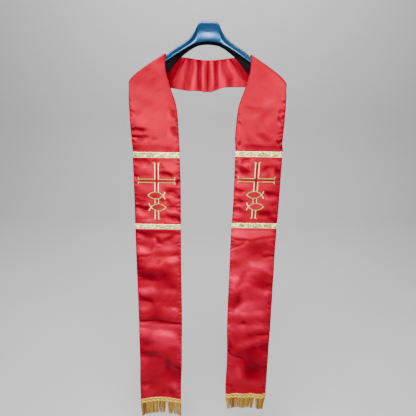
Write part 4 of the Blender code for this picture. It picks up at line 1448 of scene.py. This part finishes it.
def strand_object():
    """One strand, of unit length down from its root: two plies twisted together, rounded at the tip."""
    sides, rings, turns = 8, 26, 4.0
    verts, faces, crests = [], [], []
    for i in range(rings + 1):
        share = i / rings
        twist = 2.0 * math.pi * turns * share
        size = STRAND_RADIUS * math.sqrt(max(0.05, 1.0 - max(0.0, (share - 0.94) / 0.06) ** 2))
        sway = 0.0005 * math.sin(5.0 * share)
        for k in range(sides):
            turn = 2.0 * math.pi * k / sides
            crest = abs(math.cos(turn))
            radius = size * (0.50 + 0.50 * crest)
            verts.append((
                sway + radius * math.cos(turn + twist), radius * math.sin(turn + twist), -share
            ))
            crests.append(0.25 + 0.75 * crest)
    for i in range(rings):
        for k in range(sides):
            a, b = i * sides + k, i * sides + (k + 1) % sides
            faces.append((a, a + sides, b + sides, b))
    faces.append(tuple(range(sides)))
    faces.append(tuple(reversed(range(rings * sides, (rings + 1) * sides))))
    made = add_mesh("strand_pattern", verts, faces, [])
    mark(made.data, "crest", crests)
    return made


class STOLE_OT_fringes(bpy.types.Operator):
    """Make the two fringes: twisted braid heads and hanging strands"""

    bl_idname = "stole.fringes"
    bl_label = "Fringes"

    def execute(self, context):
        sizes, colours = context.scene.stole_sizes, context.scene.stole_colours
        look = fringe_look(colours)
        tree = strand_tree()
        pattern = strand_object()
        for side, sign in SIDES.items():
            hem = HEIGHTS[side]["hem"]
            top = hem - SEAM_GAP
            across = np.linspace(0.0, 1.0, 261)
            inner, outer = panel_edges(side, hem)
            x = inner + (outer - inner) * across
            depth = panel_depth(side, across, x, np.full_like(x, hem), sizes)
            verts, faces, crests = [], [], []
            for drop, up, out, pitch, reverse in CORDS:
                waver = 0.35 * MM * wander(91, across * PANEL_WIDTH, 0.009)
                path = np.stack([sign * x, depth - 0.0009, top - drop + waver], 1)
                rope_verts, rope_faces, rope_crests = rope_mesh(path, up, out, pitch, reverse)
                start = len(verts)
                verts += rope_verts
                crests += rope_crests
                faces += [tuple(k + start for k in face) for face in rope_faces]
            back_path = np.stack([sign * x, depth, 0.0 * x + top], 1)
            start, count = len(verts), len(x)
            for low, off in (
                (0.0, -0.0009), (0.0, 0.0009), (HEAD_HEIGHT - 0.002, 0.0009),
                (HEAD_HEIGHT - 0.002, -0.0009),
            ):
                verts += [tuple(p) for p in back_path + np.array([0.0, off, -low - 0.0008])]
            # The strip behind the cords is marked as a deep hollow, so it takes the painted shade.
            crests += [0.12] * (4 * count)
            for i in range(count - 1):
                for k in range(4):
                    a, b = start + k * count + i, start + ((k + 1) % 4) * count + i
                    faces.append((a, a + 1, b + 1, b))
            faces.append(tuple(start + k * count for k in range(4)))
            faces.append(tuple(start + k * count + count - 1 for k in (3, 2, 1, 0)))
            head = add_mesh(f"braid_head_{side}", verts, faces, [look])
            mark(head.data, "crest", crests)
            mark(head.data, "tone", [1.2] * len(crests))
            strands = self.strands(side, sign, hem, sizes, tree, pattern, look)
            set_on_root(head, "gold_fringe", f"fringe_{side}")
            set_on_root(strands, "gold_fringe")
        bpy.data.objects.remove(pattern)
        return {"FINISHED"}

    def strands(self, side, sign, hem, sizes, tree, pattern, look):
        """The hanging strands of one end, gathered in small clumps with gaps between them."""
        chance = np.random.RandomState(5 if side == "left" else 8)
        gaps = STRAND_GAPS[side]
        inner, outer = panel_edges(side, hem)
        roots, leans, reaches, tones = [], [], [], []
        tuft_tone = chance.uniform(-0.25, 0.25, TUFTS + 1)
        for layer in range(2):
            for n in range(sizes.strands):
                share = (n + 0.5 * layer + 0.25) / (sizes.strands + 0.5)
                if abs(share - gaps[0]) < 0.012:
                    continue
                tuft = int(share * TUFTS)
                x = float(inner + (outer - inner) * share)
                depth = panel_depth(side, np.array([share]), np.array([x]), np.array([hem]), sizes)
                lean = 0.03 * float(wander(61 + layer, np.array([share * PANEL_WIDTH]), 0.012)[0])
                lean += (0.02 if side == "left" else 0.17) * (1.0 - 2.0 * share) ** 3
                lean += 0.50 * ((tuft + 0.5) / TUFTS - share) * float(outer - inner) / STRAND_LENGTH[side]
                for gap, spread in zip(gaps, (0.26, 0.12)):
                    aside = (share - gap) / 0.035
                    lean += spread * aside * math.exp(-aside * aside)
                lean += chance.uniform(-0.022, 0.022)
                roots.append((
                    sign * x, float(depth[0]) + (0.5 - layer) * 0.0020, hem - HEAD_HEIGHT + 0.0016
                ))
                turned = Matrix.Rotation(-sign * lean, 3, "Y")
                turned = turned @ Matrix.Rotation(chance.uniform(-0.04, 0.04), 3, "X")
                turned = turned @ Matrix.Rotation(chance.uniform(0.0, 6.28), 3, "Z")
                leans.append(tuple(turned.to_euler()))
                size = chance.uniform(0.85, 1.15)
                from_middle = abs(2.0 * share - 1.0)
                length = STRAND_LENGTH[side] * (0.90 + 0.13 * from_middle**4) * chance.uniform(0.93, 1.05)
                reaches.append((size, size, length))
                # The back row's tones are lowered by a fixed step: painted shade behind the front row.
                tone = chance.uniform(0.1, 1.0) + tuft_tone[tuft] - 0.35 * (1 - layer)
                tones.append(min(1.0, max(0.0, tone)))
        mesh = bpy.data.meshes.new("roots")
        mesh.from_pydata(roots, [], [])
        for name, values in (("lean", leans), ("reach", reaches)):
            layer = mesh.attributes.new(name, "FLOAT_VECTOR", "POINT")
            layer.data.foreach_set("vector", np.array(values, np.float32).ravel())
        mark(mesh, "tone", tones)
        made = applied(linked("roots", mesh), tree, {"Strand": pattern, "Material": look})
        return smooth_piece(f"fringe_strands_{side}", made)


def fine_hanger_rows():
    """The hanger's rows resampled smoothly along its half."""
    rows = np.array(HANGER_ROWS)
    mirrored = rows[1:3][::-1].copy()
    mirrored[:, 0] *= -1.0
    grid = np.concatenate([mirrored, rows])[:, None, :]
    fine = smooth_through(grid, 0.0024)[:, 0, :]
    keep = fine[fine[:, 0] > -1e-6]
    keep[:, 1] = np.minimum(keep[:, 1], 0.0)
    return keep


def shell_section(row):
    """The channel's section: a front face that rounds back to the flat top, then its inside."""
    x, top, front, back, _ = row
    share = min(1.0, x / ARM_END_X)
    half = HANGER_HALF_DEPTH[0] + (HANGER_HALF_DEPTH[1] - HANGER_HALF_DEPTH[0]) * share
    half -= 0.0030 * (1.0 - math.exp(-((x / 0.022) ** 2)))
    middle = float(arm_depth(x))
    height = top - front
    tall = min(1.0, height / 0.045)
    drawn_in = 0.38 * tall**1.5
    corner = min(0.0045, 0.28 * height)
    face = height - corner - 0.0010
    rim = [(-half, front), (-half, front + 0.0010)]
    for k in range(1, 13):
        t = k / 12.0
        waist = eased((4.6 - 3.1 * tall) * t) + 0.16 * t
        rim.append((-half * (1.0 - drawn_in * waist), front + 0.0010 + face * t))
    start_y, start_z = rim[-1]
    for k in range(1, 7):
        turn = math.pi / 2.0 * k / 6.0
        rim.append((
            start_y + corner * (1.0 - math.cos(turn)), start_z + corner * math.sin(turn)
        ))
    rim += [(-y, z) for y, z in reversed(rim[1:])] + [(half, back)]
    crown = min(0.0080, (top - front) * 0.45)
    inner_top = top - crown - HANGER_WALL
    inside = [
        (half - HANGER_WALL, back), (0.72 * half - HANGER_WALL, inner_top),
        (-0.72 * half + HANGER_WALL, inner_top), (-half + HANGER_WALL, front),
    ]
    return [(middle + y, z) for y, z in rim + inside]


def web_section(row):
    x, top, _, _, low = row
    middle = float(arm_depth(x))
    peak = top - 0.0040
    return [
        (middle - 0.8 * WEB_HALF, low + 0.0006), (middle - WEB_HALF, low + 0.0016),
        (middle - WEB_HALF, peak), (middle + WEB_HALF, peak),
        (middle + WEB_HALF, low + 0.0016), (middle + 0.8 * WEB_HALF, low + 0.0006),
        (middle, low),
    ]


def swept(section_of, rows):
    both = [(-1.0, row) for row in rows[:0:-1]] + [(1.0, row) for row in rows]
    sections = [[(sign * row[0], y, z) for y, z in section_of(row)] for sign, row in both]
    size = len(sections[0])
    verts = [point for section in sections for point in section]
    faces = [tuple(range(size)), tuple(reversed(range(len(verts) - size, len(verts))))]
    for i in range(len(sections) - 1):
        for k in range(size):
            a, b = i * size + k, i * size + (k + 1) % size
            faces.append((a, a + size, b + size, b))
    return verts, faces


class STOLE_OT_hanger(bpy.types.Operator):
    """Make the hanger: the pearl blue shell and the dark web inside it"""

    bl_idname = "stole.hanger"
    bl_label = "Hanger"

    def execute(self, context):
        colours = context.scene.stole_colours
        rows = fine_hanger_rows()
        crisp = math.radians(38.0)
        shell = add_mesh(
            "moulded_shell", *swept(shell_section, rows), [shell_look(colours)], crisp=crisp
        )
        set_on_root(shell, "blue_plastic", "hanger_shell")
        web = add_mesh("moulded_web", *swept(web_section, rows), [web_look(colours)], crisp=crisp)
        set_on_root(web, "black_plastic", "hanger_web")
        return {"FINISHED"}


def area_light(name, place, aim, size, power):
    data = bpy.data.lights.new(name, "AREA")
    data.shape, data.size, data.size_y = "RECTANGLE", size[0], size[1]
    data.energy = power
    lamp = linked(name, data)
    way = np.array(aim, float) - np.array(place, float)
    lamp.location = place
    lamp.visible_camera = False
    yaw = math.atan2(way[0], way[1])
    dip = math.atan2(way[2], math.hypot(way[0], way[1]))
    lamp.rotation_euler = (math.radians(90.0) + dip, 0.0, -yaw)


class STOLE_OT_stage(bpy.types.Operator):
    """Make the floor with its curved backdrop, the soft lights and the camera"""

    bl_idname = "stole.stage"
    bl_label = "Stage"

    def execute(self, context):
        stage = context.scene.stole_stage
        floor_z, wall_y, bend = stage.floor, WALL_BEHIND, WALL_BEND
        profile = [(-STAGE_HALF, floor_z), (wall_y - bend, floor_z)]
        for k in range(1, 13):
            turn = math.pi / 2.0 * k / 12.0
            profile.append((
                wall_y - bend + bend * math.sin(turn), floor_z + bend * (1.0 - math.cos(turn))
            ))
        profile.append((wall_y, WALL_TOP))
        verts = [(x, y, z) for y, z in profile for x in (-STAGE_HALF, STAGE_HALF)]
        faces = [(2 * i, 2 * i + 1, 2 * i + 3, 2 * i + 2) for i in range(len(profile) - 1)]
        floor = add_mesh("studio_floor", verts, faces, [plain_look("studio_paper", (0.60, 0.60, 0.61), 0.8)])
        area_light("key", (-0.1, -0.78, 0.75), (0.0, 0.0, -0.12), (0.9, 0.45), stage.key_power)
        area_light("front", (-0.10, -1.22, -0.50), (0.0, 0.0, -0.50), (0.5, 0.65), stage.front_power)
        area_light("rim_left", (-1.3, 0.5, 0.3), (0.0, 0.0, -0.5), (0.4, 1.0), stage.fill_power)
        area_light("rim_right", (1.3, 0.5, 0.3), (0.0, 0.0, -0.5), (0.4, 1.0), stage.fill_power)
        area_light("backdrop", (0.0, 1.3, 2.4), (0.0, 3.6, -0.6), (3.0, 0.6), 2.5 * stage.backdrop_power)
        world = bpy.data.worlds.new("studio_air")
        world.use_nodes = True
        air = world.node_tree.nodes["Background"]
        air.inputs["Color"].default_value = (0.92, 0.94, 1.0, 1.0)
        air.inputs["Strength"].default_value = stage.world_light
        context.scene.world = world
        data = bpy.data.cameras.new("view")
        data.lens, data.sensor_width = stage.lens, SENSOR_WIDTH
        data.clip_start, data.clip_end = 0.02, 50.0
        camera = linked("view", data)
        turn = Matrix.Rotation(math.radians(90.0) - stage.pitch, 4, "X")
        camera.matrix_world = (
            Matrix.Translation(stage.place) @ turn @ Matrix.Rotation(stage.roll, 4, "Z")
        )
        context.scene.camera = camera
        return {"FINISHED"}


class STOLE_PT_panel(bpy.types.Panel):
    """Buttons for each group of pieces, and their sizes and colours"""

    bl_label = "Stole"
    bl_idname = "STOLE_PT_panel"
    bl_space_type = "VIEW_3D"
    bl_region_type = "UI"
    bl_category = "Stole"

    def draw(self, context):
        layout = self.layout
        for group in (context.scene.stole_sizes, context.scene.stole_colours, context.scene.stole_stage):
            for name in group.__annotations__:
                layout.prop(group, name)
        for operator in OPERATORS:
            layout.operator(operator.bl_idname)


OPERATORS = (
    STOLE_OT_cloth, STOLE_OT_bands, STOLE_OT_emblems, STOLE_OT_seams, STOLE_OT_fringes,
    STOLE_OT_hanger, STOLE_OT_stage,
)
CLASSES = (StoleSizes, StoleColours, StoleStage, *OPERATORS, STOLE_PT_panel)


def register():
    for cls in CLASSES:
        bpy.utils.register_class(cls)
    bpy.types.Scene.stole_sizes = PointerProperty(type=StoleSizes)
    bpy.types.Scene.stole_colours = PointerProperty(type=StoleColours)
    bpy.types.Scene.stole_stage = PointerProperty(type=StoleStage)


def unregister():
    for name in ("stole_sizes", "stole_colours", "stole_stage"):
        delattr(bpy.types.Scene, name)
    for cls in reversed(CLASSES):
        bpy.utils.unregister_class(cls)


def declare_cloth():
    """Gather the names of the trims on each half of the cloth; nothing is done with them."""
    for side in SIDES:
        trims = [f"woven_band_upper_{side}", f"woven_band_lower_{side}"]
        trims += [f"stitched_{side}_{part}" for part in ("upper_a", "upper_b", "lower")]
        trims += [f"edge_stitches_{side}", f"band_stitches_{side}"]
        trims += [f"braid_head_{side}", f"fringe_strands_{side}"]


def main():
    register()
    bpy.ops.stole.cloth()
    bpy.ops.stole.bands()
    bpy.ops.stole.emblems()
    bpy.ops.stole.seams()
    bpy.ops.stole.fringes()
    bpy.ops.stole.hanger()
    bpy.ops.stole.stage()
    declare_cloth()


if __name__ == "__main__":
    main()
